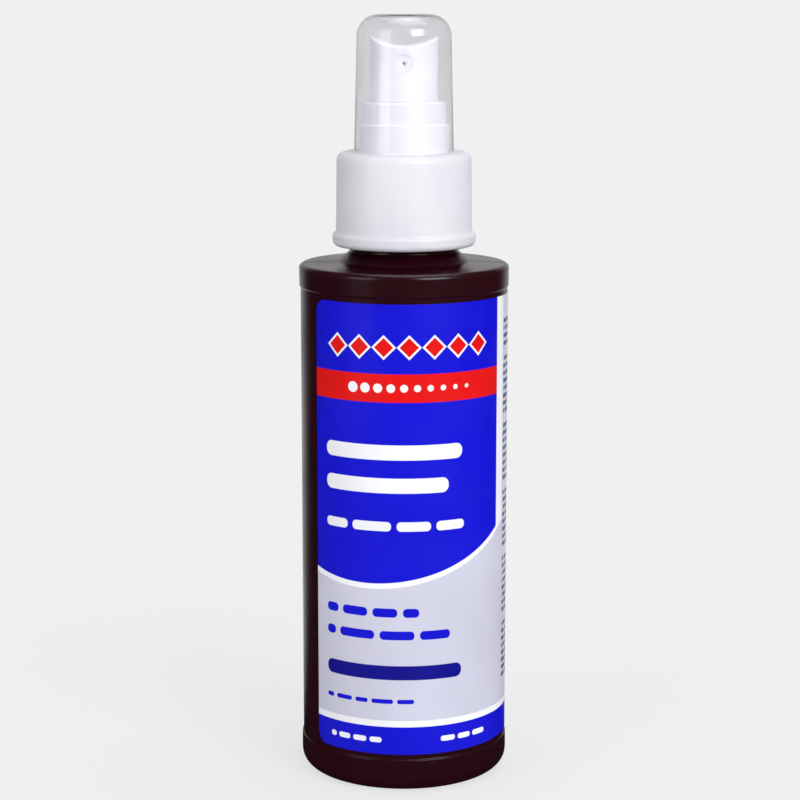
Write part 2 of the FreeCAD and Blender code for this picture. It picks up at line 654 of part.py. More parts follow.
def dip_tube():
    """Suction tube pressed into the cylinder's foot, cut at a slant above the bottle's floor."""
    top = SOCKET_TOP - SEAT_CLEARANCE
    tube = rod(TUBE_R, TUBE_LOW, top).cut(rod(TUBE_BORE / 2, TUBE_LOW, top))
    rise = TUBE_DIAMETER * math.tan(math.radians(TUBE_CUT_DEG))
    wedge = Part.Face(Part.makePolygon([
        FreeCAD.Vector(-TUBE_DIAMETER, -TUBE_R, TUBE_LOW),
        FreeCAD.Vector(-TUBE_DIAMETER, TUBE_R, TUBE_LOW + rise),
        FreeCAD.Vector(-TUBE_DIAMETER, TUBE_R, TUBE_LOW - rise),
        FreeCAD.Vector(-TUBE_DIAMETER, -TUBE_R, TUBE_LOW - rise),
        FreeCAD.Vector(-TUBE_DIAMETER, -TUBE_R, TUBE_LOW),
    ])).extrude(FreeCAD.Vector(2 * TUBE_DIAMETER, 0, 0))
    return tube.cut(wedge)


def main():
    """Build every piece and write one file for each."""
    pieces = {
        "bottle": bottle(),
        "wrap_label": wrap_label(),
        "closure": closure(),
        "overcap": overcap(),
        "actuator": actuator(),
        "nozzle_insert": nozzle_insert(),
        "neck_gasket": neck_gasket(),
        "pump_housing": pump_housing(),
        "housing_cap": housing_cap(),
        "stem": stem(),
        "piston": piston(),
        "valve_pin": valve_pin(),
        "valve_spring": coil_spring("valve_spring", VALVE_WIRE, VALVE_COIL_DIAMETER,
                                    PISTON_TOP, COLLAR_LOW, VALVE_TURNS),
        "return_spring": coil_spring("return_spring", RETURN_WIRE, RETURN_COIL_DIAMETER,
                                     SPRING_LEDGE, PIN_HEAD_LOW, RETURN_TURNS),
        "inlet_ball": inlet_ball(),
        "dip_tube": dip_tube(),
    }
    os.makedirs("parts", exist_ok=True)
    for name, shape in pieces.items():
        solids = shape.Solids
        print(name, "solids", len(solids), "valid", shape.isValid(), "volume", round(shape.Volume, 2),
              "z", round(shape.BoundBox.ZMin, 2), round(shape.BoundBox.ZMax, 2))
        part = solids[0] if len(solids) == 1 else shape
        part.exportStep(os.path.join("parts", name + ".step"))


main()
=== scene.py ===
"""Looks of a fine-mist spray bottle: brown bottle, wrap label, screw closure, finger pump and clear overcap.

The scene is in metres and the sizes below are in millimetres. +Z is up, the origin is at the centre of the
foot, and the front of the label faces -Y.
"""

import json
import logging
import math
from abc import ABC, abstractmethod
from collections.abc import Sequence
from dataclasses import dataclass, field
from enum import Enum

import bmesh
import bpy
from mathutils import Color, Matrix, Vector


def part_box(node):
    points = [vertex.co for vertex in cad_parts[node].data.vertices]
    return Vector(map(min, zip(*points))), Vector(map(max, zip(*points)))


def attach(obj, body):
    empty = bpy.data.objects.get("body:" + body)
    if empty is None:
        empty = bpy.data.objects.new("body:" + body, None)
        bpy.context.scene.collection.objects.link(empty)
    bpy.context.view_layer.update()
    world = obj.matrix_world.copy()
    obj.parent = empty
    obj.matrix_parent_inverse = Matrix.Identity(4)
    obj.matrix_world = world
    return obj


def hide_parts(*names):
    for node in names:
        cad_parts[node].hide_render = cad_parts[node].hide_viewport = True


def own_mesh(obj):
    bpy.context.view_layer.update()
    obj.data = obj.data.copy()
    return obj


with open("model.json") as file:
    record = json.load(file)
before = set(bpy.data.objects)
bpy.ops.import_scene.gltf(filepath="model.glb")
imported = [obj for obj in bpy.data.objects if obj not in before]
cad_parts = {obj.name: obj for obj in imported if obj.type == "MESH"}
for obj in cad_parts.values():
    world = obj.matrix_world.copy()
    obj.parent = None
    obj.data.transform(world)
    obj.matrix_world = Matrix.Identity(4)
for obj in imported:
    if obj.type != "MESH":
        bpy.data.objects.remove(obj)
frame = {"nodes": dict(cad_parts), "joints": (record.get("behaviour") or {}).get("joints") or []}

Colour = tuple[float, float, float, float]
Point = tuple[float, float]
Place = tuple[float, float, float]
Material = bpy.types.Material
Mesh = bpy.types.Mesh
Object = bpy.types.Object
Socket = bpy.types.NodeSocket

MM = 0.001
FULL_TURN = 2 * math.pi
QUARTER_TURN = math.pi / 2
SHARP_ANGLE = math.radians(32)
ARC_STEPS = 8             # in a quarter turn of a rounded corner
LEAST_ARC_STEPS = 3
ROUNDING_SHARE = 0.48     # the most of a side that one rounding takes
HOLD_LOOP = 0.15          # distance from a corner to the row of points that keeps it crisp
THREAD_ROW = 0.16         # height of the rows on a threaded wall
WALL_BAND = 0.02          # how near to a wall a point has to be for a thread to lift it
NEAR = 1e-6
MERGE_DISTANCE = 1e-8     # in metres
MIDDLE = 0.5              # of a noise or a cell, which run from 0 to 1
MIX_SHARE, MIX_FIRST, MIX_SECOND, MIX_RESULT = 0, 6, 7, 2     # sockets of a Mix node for colours
WHITE = (1.0, 1.0, 1.0, 1.0)

log = logging.getLogger("spray_bottle")


def swatch(red: int, green: int, blue: int) -> Colour:
    """Turn a swatch of 0 to 255 values into a linear colour with full alpha."""
    return (*Color((red / 255, green / 255, blue / 255)).from_srgb_to_scene_linear(), 1.0)


class Level(Enum):
    """Which end of a CAD node's box is read."""

    LOW = 0
    HIGH = 1


def level(node: str, end: Level) -> float:
    """Give the height of a CAD node's low or high end above the foot, in millimetres."""
    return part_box(node)[end.value].z / MM


def reach(node: str) -> float:
    """Give a CAD node's radius towards +X, in millimetres."""
    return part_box(node)[Level.HIGH.value].x / MM


class Nodes:
    """Short calls that add nodes to one shader or geometry tree."""

    def __init__(self, tree: bpy.types.NodeTree) -> None:
        """Keep the tree that the nodes go into."""
        self.tree = tree

    def feed(self, socket: Socket, value: object) -> None:
        """Link an output into a socket, or set the socket's own value.

        Args:
            socket: The input to feed.
            value: A Value, an output socket or a plain value.
        """
        source = value.socket if isinstance(value, Value) else value
        if isinstance(source, Socket):
            self.tree.links.new(source, socket)
        else:
            socket.default_value = source

    def add(self, kind: str, inputs: dict | None = None, **settings: object) -> bpy.types.Node:
        """Add a node.

        Args:
            kind: The node's type.
            inputs: What its inputs get, by name or number.
            settings: The node's own properties.

        Returns:
            The new node.
        """
        node = self.tree.nodes.new(kind)
        for name, setting in settings.items():
            setattr(node, name, setting)
        for key, value in (inputs or {}).items():
            self.feed(node.inputs[key], value)
        return node

    def take(self, kind: str, output: str | int, inputs: dict | None = None, **settings: object) -> "Value":
        """Add a node and take one of its outputs, by name or number."""
        return Value(self, self.add(kind, inputs, **settings).outputs[output])

    def given(self) -> dict[str, "Value"]:
        """Add a Group Input node and take its outputs by name."""
        return {s.name: Value(self, s) for s in self.add("NodeGroupInput").outputs if s.name}

    def split(self, vector: object) -> list["Value"]:
        """Take a vector apart into x, y and z."""
        return [Value(self, s) for s in self.add("ShaderNodeSeparateXYZ", {0: vector}).outputs]

    def math(self, operation: str, *values: object, clamp: bool = False) -> "Value":
        """Add a Math node for these values, with its result held from 0 to 1 if clamp is set."""
        inputs = dict(enumerate(values))
        return self.take("ShaderNodeMath", 0, inputs, operation=operation, use_clamp=clamp)

    def ramp(self, value: object, low: float, high: float, start: float = 0.0, end: float = 1.0) -> "Value":
        """Step smoothly from start to end while a value goes from low to high."""
        inputs = {"Value": value, "From Min": low, "From Max": high, "To Min": start, "To Max": end}
        return self.take("ShaderNodeMapRange", "Result", inputs, interpolation_type="SMOOTHSTEP")

    def mix(self, share: object, first: object, second: object) -> "Value":
        """Mix two colours, with this share of the second."""
        inputs = {MIX_SHARE: share, MIX_FIRST: first, MIX_SECOND: second}
        return self.take("ShaderNodeMix", MIX_RESULT, inputs, data_type="RGBA")

    def noise(self, vector: object, scale: object, detail: float = 2.0) -> "Value":
        """Add a noise from 0 to 1, with this many finer layers."""
        return self.take("ShaderNodeTexNoise", "Fac", {"Vector": vector, "Scale": scale, "Detail": detail})


@dataclass(frozen=True, eq=False)
class Value:
    """An output in a node tree; plain operators on it add Math nodes."""

    nodes: Nodes
    socket: Socket

    def __add__(self, other: object) -> "Value":
        """Add a number to this one."""
        return self.nodes.math("ADD", self, other)

    def __radd__(self, other: object) -> "Value":
        """Add this one to a plain number."""
        return self.nodes.math("ADD", other, self)

    def __sub__(self, other: object) -> "Value":
        """Take a number from this one."""
        return self.nodes.math("SUBTRACT", self, other)

    def __rsub__(self, other: object) -> "Value":
        """Take this one from a plain number."""
        return self.nodes.math("SUBTRACT", other, self)

    def __mul__(self, other: object) -> "Value":
        """Multiply this one by a number."""
        return self.nodes.math("MULTIPLY", self, other)

    def __truediv__(self, other: object) -> "Value":
        """Divide this one by a number."""
        return self.nodes.math("DIVIDE", self, other)

    def __abs__(self) -> "Value":
        """Drop this one's sign."""
        return self.nodes.math("ABSOLUTE", self)


def fresh_nodes(owner: Material | bpy.types.World) -> Nodes:
    """Empty the tree of a material or a world.

    Args:
        owner: The material or world.

    Returns:
        Its tree, without nodes.
    """
    owner.use_nodes = True
    owner.node_tree.nodes.clear()
    return Nodes(owner.node_tree)


@dataclass
class Group:
    """A shader node group with named inputs and outputs, built once."""

    name: str
    inputs: dict[str, str]
    outputs: tuple[str, ...]
    nodes: Nodes = field(init=False)
    given: dict[str, Value] = field(init=False)
    out: bpy.types.Node = field(init=False)

    def __post_init__(self) -> None:
        """Make the empty tree and its sockets, each input of its own kind."""
        tree = bpy.data.node_groups.new(self.name, "ShaderNodeTree")
        for name, kind in self.inputs.items():
            tree.interface.new_socket(name, in_out="INPUT", socket_type=kind)
        for name in self.outputs:
            tree.interface.new_socket(name, in_out="OUTPUT", socket_type="NodeSocketFloat")
        self.nodes = Nodes(tree)
        self.given = self.nodes.given()
        self.out = self.nodes.add("NodeGroupOutput")

    def put(self, name: str, value: Value) -> None:
        """Link a value to one of the group's outputs."""
        self.nodes.feed(self.out.inputs[name], value)

    def use(self, nodes: Nodes, **values: object) -> dict[str, Value]:
        """Place the group in a material.

        Args:
            nodes: The material's tree.
            values: What the group's inputs get, by name.

        Returns:
            The outputs by name.
        """
        node = nodes.add("ShaderNodeGroup", node_tree=self.nodes.tree)
        for name, value in values.items():
            nodes.feed(node.inputs[name], value)
        return {socket.name: Value(nodes, socket) for socket in node.outputs}


@dataclass(frozen=True)
class MouldedGrain:
    """Skin of moulded plastic: fine grain over slow waves, a slow mottle and a few specks."""

    fine_share: float = 0.3
    fine_detail: float = 3.0
    slow_detail: float = 1.0
    mottle_scale: float = 0.4
    mottle_step: Point = (0.3, 0.7)
    speck_scale: float = 0.5
    speck_step: Point = (0.68, 0.76)

    def group(self) -> Group:
        """Build the group.

        Returns:
            The group, with Height, Mottle and Speck.
        """
        inputs = {"Vector": "NodeSocketVector", "Grain": "NodeSocketFloat", "Wave": "NodeSocketFloat"}
        group = Group("moulded_grain", inputs, ("Height", "Mottle", "Speck"))
        nodes = group.nodes
        place, fine, slow = group.given.values()
        waves = nodes.noise(place, slow, self.slow_detail)
        group.put("Height", nodes.noise(place, fine, self.fine_detail) * self.fine_share + waves)
        group.put("Mottle", nodes.ramp(nodes.noise(place, slow * self.mottle_scale), *self.mottle_step))
        group.put("Speck", nodes.ramp(nodes.noise(place, fine * self.speck_scale), *self.speck_step))
        return group


@dataclass(frozen=True)
class HandlingMarks:
    """Marks of handling: faint smudges and hairline rubs."""

    smudge_detail: float = 4.0
    smudge_step: Point = (0.42, 0.7)
    rub_detail: float = 1.0
    rub_turn: Place = (0.5, 0.2, 0.9)
    rub_stretch: Place = (1.0, 1.0, 14.0)
    rub_width: float = 0.012

    def group(self) -> Group:
        """Build the group.

        Returns:
            The group, with Smudges and Rubs.
        """
        inputs = {"Vector": "NodeSocketVector", "Smudge": "NodeSocketFloat", "Rub": "NodeSocketFloat"}
        group = Group("handling_marks", inputs, ("Smudges", "Rubs"))
        nodes = group.nodes
        place, smudge, rub = group.given.values()
        group.put("Smudges", nodes.ramp(nodes.noise(place, smudge, self.smudge_detail), *self.smudge_step))
        stretch = {"Vector": place, "Rotation": self.rub_turn, "Scale": self.rub_stretch}
        lines = nodes.noise(nodes.take("ShaderNodeMapping", 0, stretch), rub, self.rub_detail)
        group.put("Rubs", nodes.ramp(abs(lines - MIDDLE), self.rub_width, 0.0))
        return group


@dataclass(frozen=True)
class PrintBlock:
    """A printed block with rounded corners, from the distances inside its edges in millimetres."""

    soft_edge: float = 0.03

    def group(self) -> Group:
        """Build the group.

        Returns:
            The group, with Mask.
        """
        inputs = dict.fromkeys(("Along", "Across", "Corner"), "NodeSocketFloat")
        group = Group("print_block", inputs, ("Mask",))
        nodes = group.nodes
        along, across, corner = group.given.values()
        short = [nodes.math("MAXIMUM", corner - inside, 0.0) for inside in (along, across)]
        distance = nodes.math("SQRT", short[0] * short[0] + short[1] * short[1])
        group.put("Mask", nodes.ramp(corner - distance, -self.soft_edge, self.soft_edge))
        return group


@dataclass(frozen=True)
class Effects:
    """The shader groups that the finishes share."""

    grain: Group = field(default_factory=lambda: MouldedGrain().group())
    marks: Group = field(default_factory=lambda: HandlingMarks().group())
    block: Group = field(default_factory=lambda: PrintBlock().group())


def put_in_scene(name: str, data: bpy.types.ID) -> Object:
    """Put a mesh, lamp or camera into the scene.

    Args:
        name: The object's name.
        data: What it shows.

    Returns:
        The new object, at the origin.
    """
    obj = bpy.data.objects.new(name, data)
    bpy.context.scene.collection.objects.link(obj)
    return obj


def smooth(mesh: Mesh) -> None:
    """Shade a mesh smoothly, apart from its sharp edges."""
    mesh.polygons.foreach_set("use_smooth", [True] * len(mesh.polygons))
    mesh.set_sharp_from_angle(angle=SHARP_ANGLE)


def smooth_object(name: str, mesh: Mesh) -> Object:
    """Put a mesh into the scene as a smooth-shaded object."""
    smooth(mesh)
    return put_in_scene(name, mesh)


def closed_mesh(name: str, sheet: bmesh.types.BMesh) -> Mesh:
    """Close a sheet's seams and poles, turn its faces outwards and keep it as a mesh.

    Args:
        name: The mesh's name.
        sheet: The sheet, which is freed.

    Returns:
        The mesh.
    """
    bmesh.ops.remove_doubles(sheet, verts=sheet.verts[:], dist=MERGE_DISTANCE)
    bmesh.ops.recalc_face_normals(sheet, faces=sheet.faces[:])
    mesh = bpy.data.meshes.new(name)
    sheet.to_mesh(mesh)
    sheet.free()
    return mesh


def baked(obj: Object) -> None:
    """Turn an object's modifiers into a plain mesh and remove them.

    Args:
        obj: The object.
    """
    depsgraph = bpy.context.evaluated_depsgraph_get()
    mesh = bpy.data.meshes.new_from_object(obj.evaluated_get(depsgraph))
    obj.modifiers.clear()
    obj.data = mesh
    smooth(mesh)


def finish_piece(obj: Object, material: Material, body: str, node: str) -> None:
    """Give a piece its material and its body, and hide the CAD node that it stands for.

    Args:
        obj: The piece.
        material: Its material.
        body: The body that it moves with.
        node: The CAD node that it replaces.
    """
    obj.data.materials.clear()
    obj.data.materials.append(material)
    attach(obj, body)
    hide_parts(node)
    log.info("%s: %d faces on %s, for %s", obj.name, len(obj.data.polygons), body, node)


@dataclass(frozen=True)
class Corner:
    """A corner of a turned outline, in millimetres, with its rounding radius."""

    r: float
    z: float
    rounding: float = 0.0

    @property
    def place(self) -> Vector:
        """The corner in the outline's plane."""
        return Vector((self.r, self.z))


def rounded(before: Vector, corner: Corner, after: Vector) -> list[Vector]:
    """Round one corner of an outline.

    Args:
        before: The corner before it.
        corner: The corner.
        after: The corner after it.

    Returns:
        The points along its arc, or the corner itself.
    """
    if corner.rounding <= 0:
        return [corner.place]
    back = before - corner.place
    ahead = after - corner.place
    half = back.angle(ahead) / 2
    run = min(corner.rounding / math.tan(half), ROUNDING_SHARE * min(back.length, ahead.length))
    radius = run * math.tan(half)
    inward = (back.normalized() + ahead.normalized()).normalized()
    centre = corner.place + inward * (radius / math.sin(half))
    start = corner.place + back.normalized() * run - centre
    turn = start.angle_signed(corner.place + ahead.normalized() * run - centre)
    steps = max(LEAST_ARC_STEPS, math.ceil(ARC_STEPS * abs(turn) / QUARTER_TURN))
    angles = [math.atan2(start.y, start.x) - turn * i / steps for i in range(steps + 1)]
    return [centre + Vector((math.cos(a), math.sin(a))) * radius for a in angles]


def outline(corners: Sequence[Corner], longest: float) -> list[Point]:
    """Walk a closed outline with rounded corners and divided sides.

    Args:
        corners: The corners in order.
        longest: The longest step along a side, in millimetres.

    Returns:
        The outline's points, with a holding loop next to each corner.
    """
    count = len(corners)
    arcs = [rounded(corners[i - 1].place, corners[i], corners[(i + 1) % count].place) for i in range(count)]
    points = []
    for i, arc in enumerate(arcs):
        start, end = arc[-1], arcs[(i + 1) % count][0]
        run = (end - start).length
        hold = min(HOLD_LOOP, run / 3)
        steps = max(1, math.ceil((run - 2 * hold) / longest))
        shares = [(hold + (run - 2 * hold) * j / steps) / run for j in range(steps + 1)]
        points += arc + [start.lerp(end, share) for share in shares]
    return [(max(p.x, 0.0), p.y) for p in points]


def close_rows(points: Sequence[Point], radius: float) -> list[Point]:
    """Divide the straight rows of a threaded wall closely, so that its thread is smooth.

    Args:
        points: The outline's points.
        radius: The wall's radius, in millimetres.

    Returns:
        The outline with more points along that wall.
    """
    fine = []
    for here, there in zip(points, [*points[1:], points[0]]):
        on_wall = abs(here[0] - radius) < NEAR and abs(there[0] - radius) < NEAR
        steps = math.ceil(abs(there[1] - here[1]) / THREAD_ROW) if on_wall else 1
        fine.append(here)
        fine += [(radius, here[1] + (there[1] - here[1]) * i / steps) for i in range(1, steps)]
    return fine


def even_turn(columns: int) -> list[float]:
    """Give evenly spaced angles round the axis."""
    return [FULL_TURN * i / columns for i in range(columns)]


def turned(name: str, points: Sequence[Point], angles: Sequence[float]) -> Mesh:
    """Turn a closed outline about the Z axis.

    Args:
        name: The mesh's name.
        points: The outline's points (r, z), in millimetres.
        angles: The angles of its columns.

    Returns:
        The closed mesh, facing outwards.
    """
    sheet = bmesh.new()
    rings = []
    for r, z in points:
        columns = angles if r > NEAR else angles[:1]
        places = [Vector((r * math.cos(a), r * math.sin(a), z)) * MM for a in columns]
        rings.append([sheet.verts.new(place) for place in places])
    for near, far in zip(rings, rings[1:] + rings[:1]):
        for i in range(len(angles)):
            j = (i + 1) % len(angles)
            around = [near[i % len(near)], near[j % len(near)], far[j % len(far)], far[i % len(far)]]
            distinct = list(dict.fromkeys(around))
            if len(distinct) > 2:
                sheet.faces.new(distinct)
    return closed_mesh(name, sheet)


@dataclass
class Rule:
    """A Geometry Nodes tree with named inputs, ending in Realize Instances and Set Material."""

    name: str
    sizes: tuple[str, ...]
    nodes: Nodes = field(init=False)
    given: dict[str, Value] = field(init=False)
    keys: dict[str, str] = field(init=False)

    def __post_init__(self) -> None:
        """Make the empty tree and its sockets, and keep the identifiers of its inputs."""
        tree = bpy.data.node_groups.new(self.name, "GeometryNodeTree")
        tree.interface.new_socket("Geometry", in_out="OUTPUT", socket_type="NodeSocketGeometry")
        kinds = {"Geometry": "NodeSocketGeometry", "Material": "NodeSocketMaterial"}
        kinds |= dict.fromkeys(self.sizes, "NodeSocketFloat")
        self.keys = {}
        for name, kind in kinds.items():
            self.keys[name] = tree.interface.new_socket(name, in_out="INPUT", socket_type=kind).identifier
        self.nodes = Nodes(tree)
        self.given = self.nodes.given()

    def close(self, geometry: Value) -> None:
        """End the tree with Realize Instances and Set Material.

        Args:
            geometry: What the tree has made.
        """
        real = self.nodes.take("GeometryNodeRealizeInstances", 0, {"Geometry": geometry})
        dressing = {"Geometry": real, "Material": self.given["Material"]}
        self.nodes.add("NodeGroupOutput", {0: self.nodes.take("GeometryNodeSetMaterial", 0, dressing)})

    def apply(self, obj: Object, material: Material, **values: float) -> None:
        """Run the tree on an object and keep the plain mesh.

        Args:
            obj: The object.
            material: The material that the tree sets.
            values: The sizes by name, with _ for a space.
        """
        modifier = obj.modifiers.new(self.name, "NODES")
        modifier.node_group = self.nodes.tree
        modifier[self.keys["Material"]] = material
        for name, value in values.items():
            modifier[self.keys[name.replace("_", " ")]] = value
        baked(obj)


def helical_ridge() -> Rule:
    """Build the rule that raises a screw thread from a round wall.

    Returns:
        The rule. Height is positive outwards, lengths are in metres and Run Out is in turns.
    """
    sizes = ("Wall", "Height", "Foot", "Pitch", "Turns", "Root", "Crest", "Run Out")
    rule = Rule("helical_ridge", sizes)
    nodes, given = rule.nodes, rule.given
    x, y, z = nodes.split(nodes.take("GeometryNodeInputPosition", 0))
    radius = nodes.math("SQRT", x * x + y * y)
    around = nodes.math("WRAP", nodes.math("ARCTAN2", y, x), FULL_TURN, 0.0) / FULL_TURN
    climbed = (z - given["Foot"]) / given["Pitch"]
    turn = nodes.math("ROUND", climbed - around) + around
    apart = abs(climbed - turn) * given["Pitch"]
    rise = nodes.math("DIVIDE", given["Root"] - apart * 2.0, given["Root"] - given["Crest"], clamp=True)
    from_end = nodes.math("MINIMUM", turn, given["Turns"] - turn)
    fade = nodes.ramp(from_end / given["Run Out"], 0.0, 1.0)
    on_wall = nodes.math("LESS_THAN", abs(radius - given["Wall"]), WALL_BAND * MM)
    lift = rise * fade * given["Height"] * on_wall
    flat = nodes.take("ShaderNodeCombineXYZ", 0, {0: x, 1: y})
    offset = nodes.take("ShaderNodeVectorMath", 0, {0: flat, "Scale": lift / radius}, operation="SCALE")
    rule.close(nodes.take("GeometryNodeSetPosition", 0, {"Geometry": given["Geometry"], "Offset": offset}))
    return rule


def wound_wire(steps: int = 48, sides: int = 14) -> Rule:
    """Build the rule that winds a round wire into a spring.

    Args:
        steps: How many steps each turn has.
        sides: How many sides the wire has.

    Returns:
        The rule. Lengths are in metres, Coil is the outer diameter and Low is the wire's lowest point.
    """
    rule = Rule("wound_wire", ("Coil", "Wire", "Low", "High", "Turns"))
    nodes, given = rule.nodes, rule.given
    half_wire = given["Wire"] / 2.0
    radius = given["Coil"] / 2.0 - half_wire
    spiral = nodes.take("GeometryNodeCurveSpiral", 0, {
        "Resolution": steps, "Rotations": given["Turns"], "Start Radius": radius, "End Radius": radius,
        "Height": given["High"] - given["Low"] - given["Wire"]})
    section = nodes.take("GeometryNodeCurvePrimitiveCircle", 0, {"Resolution": sides, "Radius": half_wire})
    sweep = {"Curve": spiral, "Profile Curve": section, "Fill Caps": True}
    wire = nodes.take("GeometryNodeCurveToMesh", 0, sweep)
    lift = nodes.take("ShaderNodeCombineXYZ", 0, {2: given["Low"] + half_wire})
    rule.close(nodes.take("GeometryNodeTransform", 0, {"Geometry": wire, "Translation": lift}))
    return rule


@dataclass(frozen=True, kw_only=True)
class Finish(ABC):
    """What every finish has: a roughness, a fine texture and faint marks of handling.

    The scales of the texture and the marks are per metre, and the bump's depth is in millimetres.
    """

    name: str
    roughness: float
    ior: float = 1.5
    grain: float = 2600.0
    wave: float = 240.0
    smudge: float = 70.0
    rub: float = 260.0
    smudge_dulls: float = 0.06
    rub_dulls: float = 0.06
    bump: float = 0.12
    depth: float = 0.05

    def texture(self, nodes: Nodes, effects: Effects, place: Value) -> dict[str, Value]:
        """Lay the fine texture, whose Height makes the bump: the moulded grain, for most finishes."""
        return effects.grain.use(nodes, Vector=place, Grain=self.grain, Wave=self.wave)

    @abstractmethod
    def paint(self, nodes: Nodes, effects: Effects, texture: dict[str, Value]) -> Value:
        """Colour the surface.

        Args:
            nodes: The material's tree.
            effects: The shared shader groups.
            texture: The outputs of the fine texture.

        Returns:
            The colour.
        """

    def extras(self, nodes: Nodes) -> dict[str, object]:
        """Give the shader's other inputs, of which most finishes have none."""
        return {}

    def material(self, effects: Effects) -> Material:
        """Build the material on Object coordinates.

        Args:
            effects: The shared shader groups.

        Returns:
            The material.
        """
        material = bpy.data.materials.new(self.name)
        nodes = fresh_nodes(material)
        place = nodes.take("ShaderNodeTexCoord", "Object")
        texture = self.texture(nodes, effects, place)
        marks = effects.marks.use(nodes, Vector=place, Smudge=self.smudge, Rub=self.rub)
        dulled = marks["Smudges"] * self.smudge_dulls + marks["Rubs"] * self.rub_dulls
        bump = {"Strength": self.bump, "Distance": self.depth * MM, "Height": texture["Height"]}
        shader = nodes.take("ShaderNodeBsdfPrincipled", 0, {
            "Base Color": self.paint(nodes, effects, texture), "Roughness": dulled + self.roughness,
            "IOR": self.ior, "Normal": nodes.take("ShaderNodeBump", 0, bump), **self.extras(nodes)})
        nodes.add("ShaderNodeOutputMaterial", {"Surface": shader})
        return material


@dataclass(frozen=True, kw_only=True)
class MouldedPlastic(Finish):
    """Opaque moulded plastic with a slow mottle and fine specks."""

    colour: Colour
    mottle: Colour
    mottle_share: float = 0.65
    speck_share: float = 0.35

    def paint(self, nodes: Nodes, effects: Effects, texture: dict[str, Value]) -> Value:
        """Mix the two colours by mottle and specks."""
        tone = texture["Speck"] * self.speck_share + texture["Mottle"] * self.mottle_share
        return nodes.mix(tone, self.colour, self.mottle)


@dataclass(frozen=True, kw_only=True)
class ClearPlastic(Finish):
    """Clear moulded plastic with a little haze and faint rubs, which lets lamplight through."""

    tint: Colour
    clouding: float = 0.94
    lets_through: float = 0.94
    ior: float = 1.46
    grain: float = 1800.0
    wave: float = 260.0
    smudge: float = 110.0
    rub: float = 300.0
    smudge_dulls: float = 0.05
    rub_dulls: float = 0.08
    bump: float = 0.05

    def paint(self, nodes: Nodes, effects: Effects, texture: dict[str, Value]) -> Value:
        """Cloud the tint slightly by the mottle."""
        clouded = tuple(self.clouding * channel for channel in self.tint[:3])
        return nodes.mix(texture["Mottle"], self.tint, (*clouded, 1.0))

    def extras(self, nodes: Nodes) -> dict[str, object]:
        """Make the shader clear, and more so for shadow rays."""
        shadow = nodes.take("ShaderNodeLightPath", "Is Shadow Ray")
        return {"Transmission Weight": 1.0, "Alpha": 1.0 - shadow * self.lets_through}


@dataclass(frozen=True, kw_only=True)
class DrawnSteel(Finish):
    """Bright drawn wire or ground steel, with fine lines and slight tarnish."""

    colour: Colour
    tarnish: Colour
    grain: float = 9000.0
    wave: float = 900.0
    smudge: float = 500.0
    rub: float = 1600.0
    smudge_dulls: float = 0.0
    rub_dulls: float = 0.15
    bump: float = 0.1
    depth: float = 0.01

    def paint(self, nodes: Nodes, effects: Effects, texture: dict[str, Value]) -> Value:
        """Tarnish the steel by the mottle."""
        return nodes.mix(texture["Mottle"], self.colour, self.tarnish)

    def extras(self, nodes: Nodes) -> dict[str, object]:
        """Make the shader a metal."""
        return {"Metallic": 1.0}


@dataclass(frozen=True, kw_only=True)
class FoamedWasher(Finish):
    """Soft white foam with small closed cells, with painted shade in the hollow middle of each cell."""

    colour: Colour
    # the painted shade in each cell's hollow, and the distances over which it fades out
    pit_shade_colour: Colour
    cells: float = 3200.0
    pit_shade_step: Point = (0.1, 0.5)
    smudge_dulls: float = 0.1
    rub_dulls: float = 0.0
    bump: float = 0.4
    depth: float = 0.1

    def texture(self, nodes: Nodes, effects: Effects, place: Value) -> dict[str, Value]:
        """Lay closed cells in place of the grain."""
        inputs = {"Vector": place, "Scale": self.cells}
        return {"Height": nodes.take("ShaderNodeTexVoronoi", "Distance", inputs)}

    def paint(self, nodes: Nodes, effects: Effects, texture: dict[str, Value]) -> Value:
        """Paint shade into the middle of each cell, where the bump makes a hollow."""
        return nodes.mix(nodes.ramp(texture["Height"], *self.pit_shade_step), self.pit_shade_colour, self.colour)


@dataclass(frozen=True)
class PrintRow:
    """One row of plain printed bars, in millimetres round and up the label."""

    left: float
    right: float
    low: float
    high: float
    word: float
    ink: Colour
    gap: float = 1.1
    corner_share: float = 0.45


@dataclass
class PrintSheet:
    """A label while it is printed: its tree, the place on it in millimetres, and its colour so far."""

    nodes: Nodes
    block: Group
    across: Value
    up: Value
    colour: object
    soft_edge: float = 0.04
    unevenness: float = 0.9

    def lay(self, mask: Value, ink: Colour) -> None:
        """Print an ink over the colour so far, where the mask is 1."""
        self.colour = self.nodes.mix(mask, self.colour, ink)

    def edge(self, inside: Value) -> Value:
        """Turn a distance inside an edge into a crisp mask."""
        return self.nodes.ramp(inside, -self.soft_edge, self.soft_edge)

    def between(self, value: Value, low: object, high: object) -> Value:
        """Give the distance inside two limits, negative outside them."""
        return self.nodes.math("MINIMUM", value - low, high - value)

    def breaks(self, word: float, seed: object) -> Value:
        """Divide a row into bars of uneven length.

        Args:
            word: The mean length of a bar, in millimetres.
            seed: What sets this row's lengths.

        Returns:
            The distance to the nearest break, in millimetres.
        """
        inputs = {"W": self.across / word + seed, "Scale": 1.0, "Randomness": self.unevenness}
        settings = {"voronoi_dimensions": "1D", "feature": "DISTANCE_TO_EDGE"}
        return self.nodes.take("ShaderNodeTexVoronoi", "Distance", inputs, **settings) * word

    def bars(self, row: PrintRow, seed: float) -> Value:
        """Draw one row of bars, or a single bar where a word is longer than the row.

        Args:
            row: The row.
            seed: What sets the bars' lengths.

        Returns:
            The row's mask.
        """
        along = self.between(self.across, row.left, row.right)
        if row.word < row.right - row.left:
            along = self.nodes.math("MINIMUM", along, self.breaks(row.word, seed) - row.gap / 2)
        height = self.between(self.up, row.low, row.high)
        corner = (row.high - row.low) * row.corner_share
        return self.block.use(self.nodes, Along=along, Across=height, Corner=corner)["Mask"]


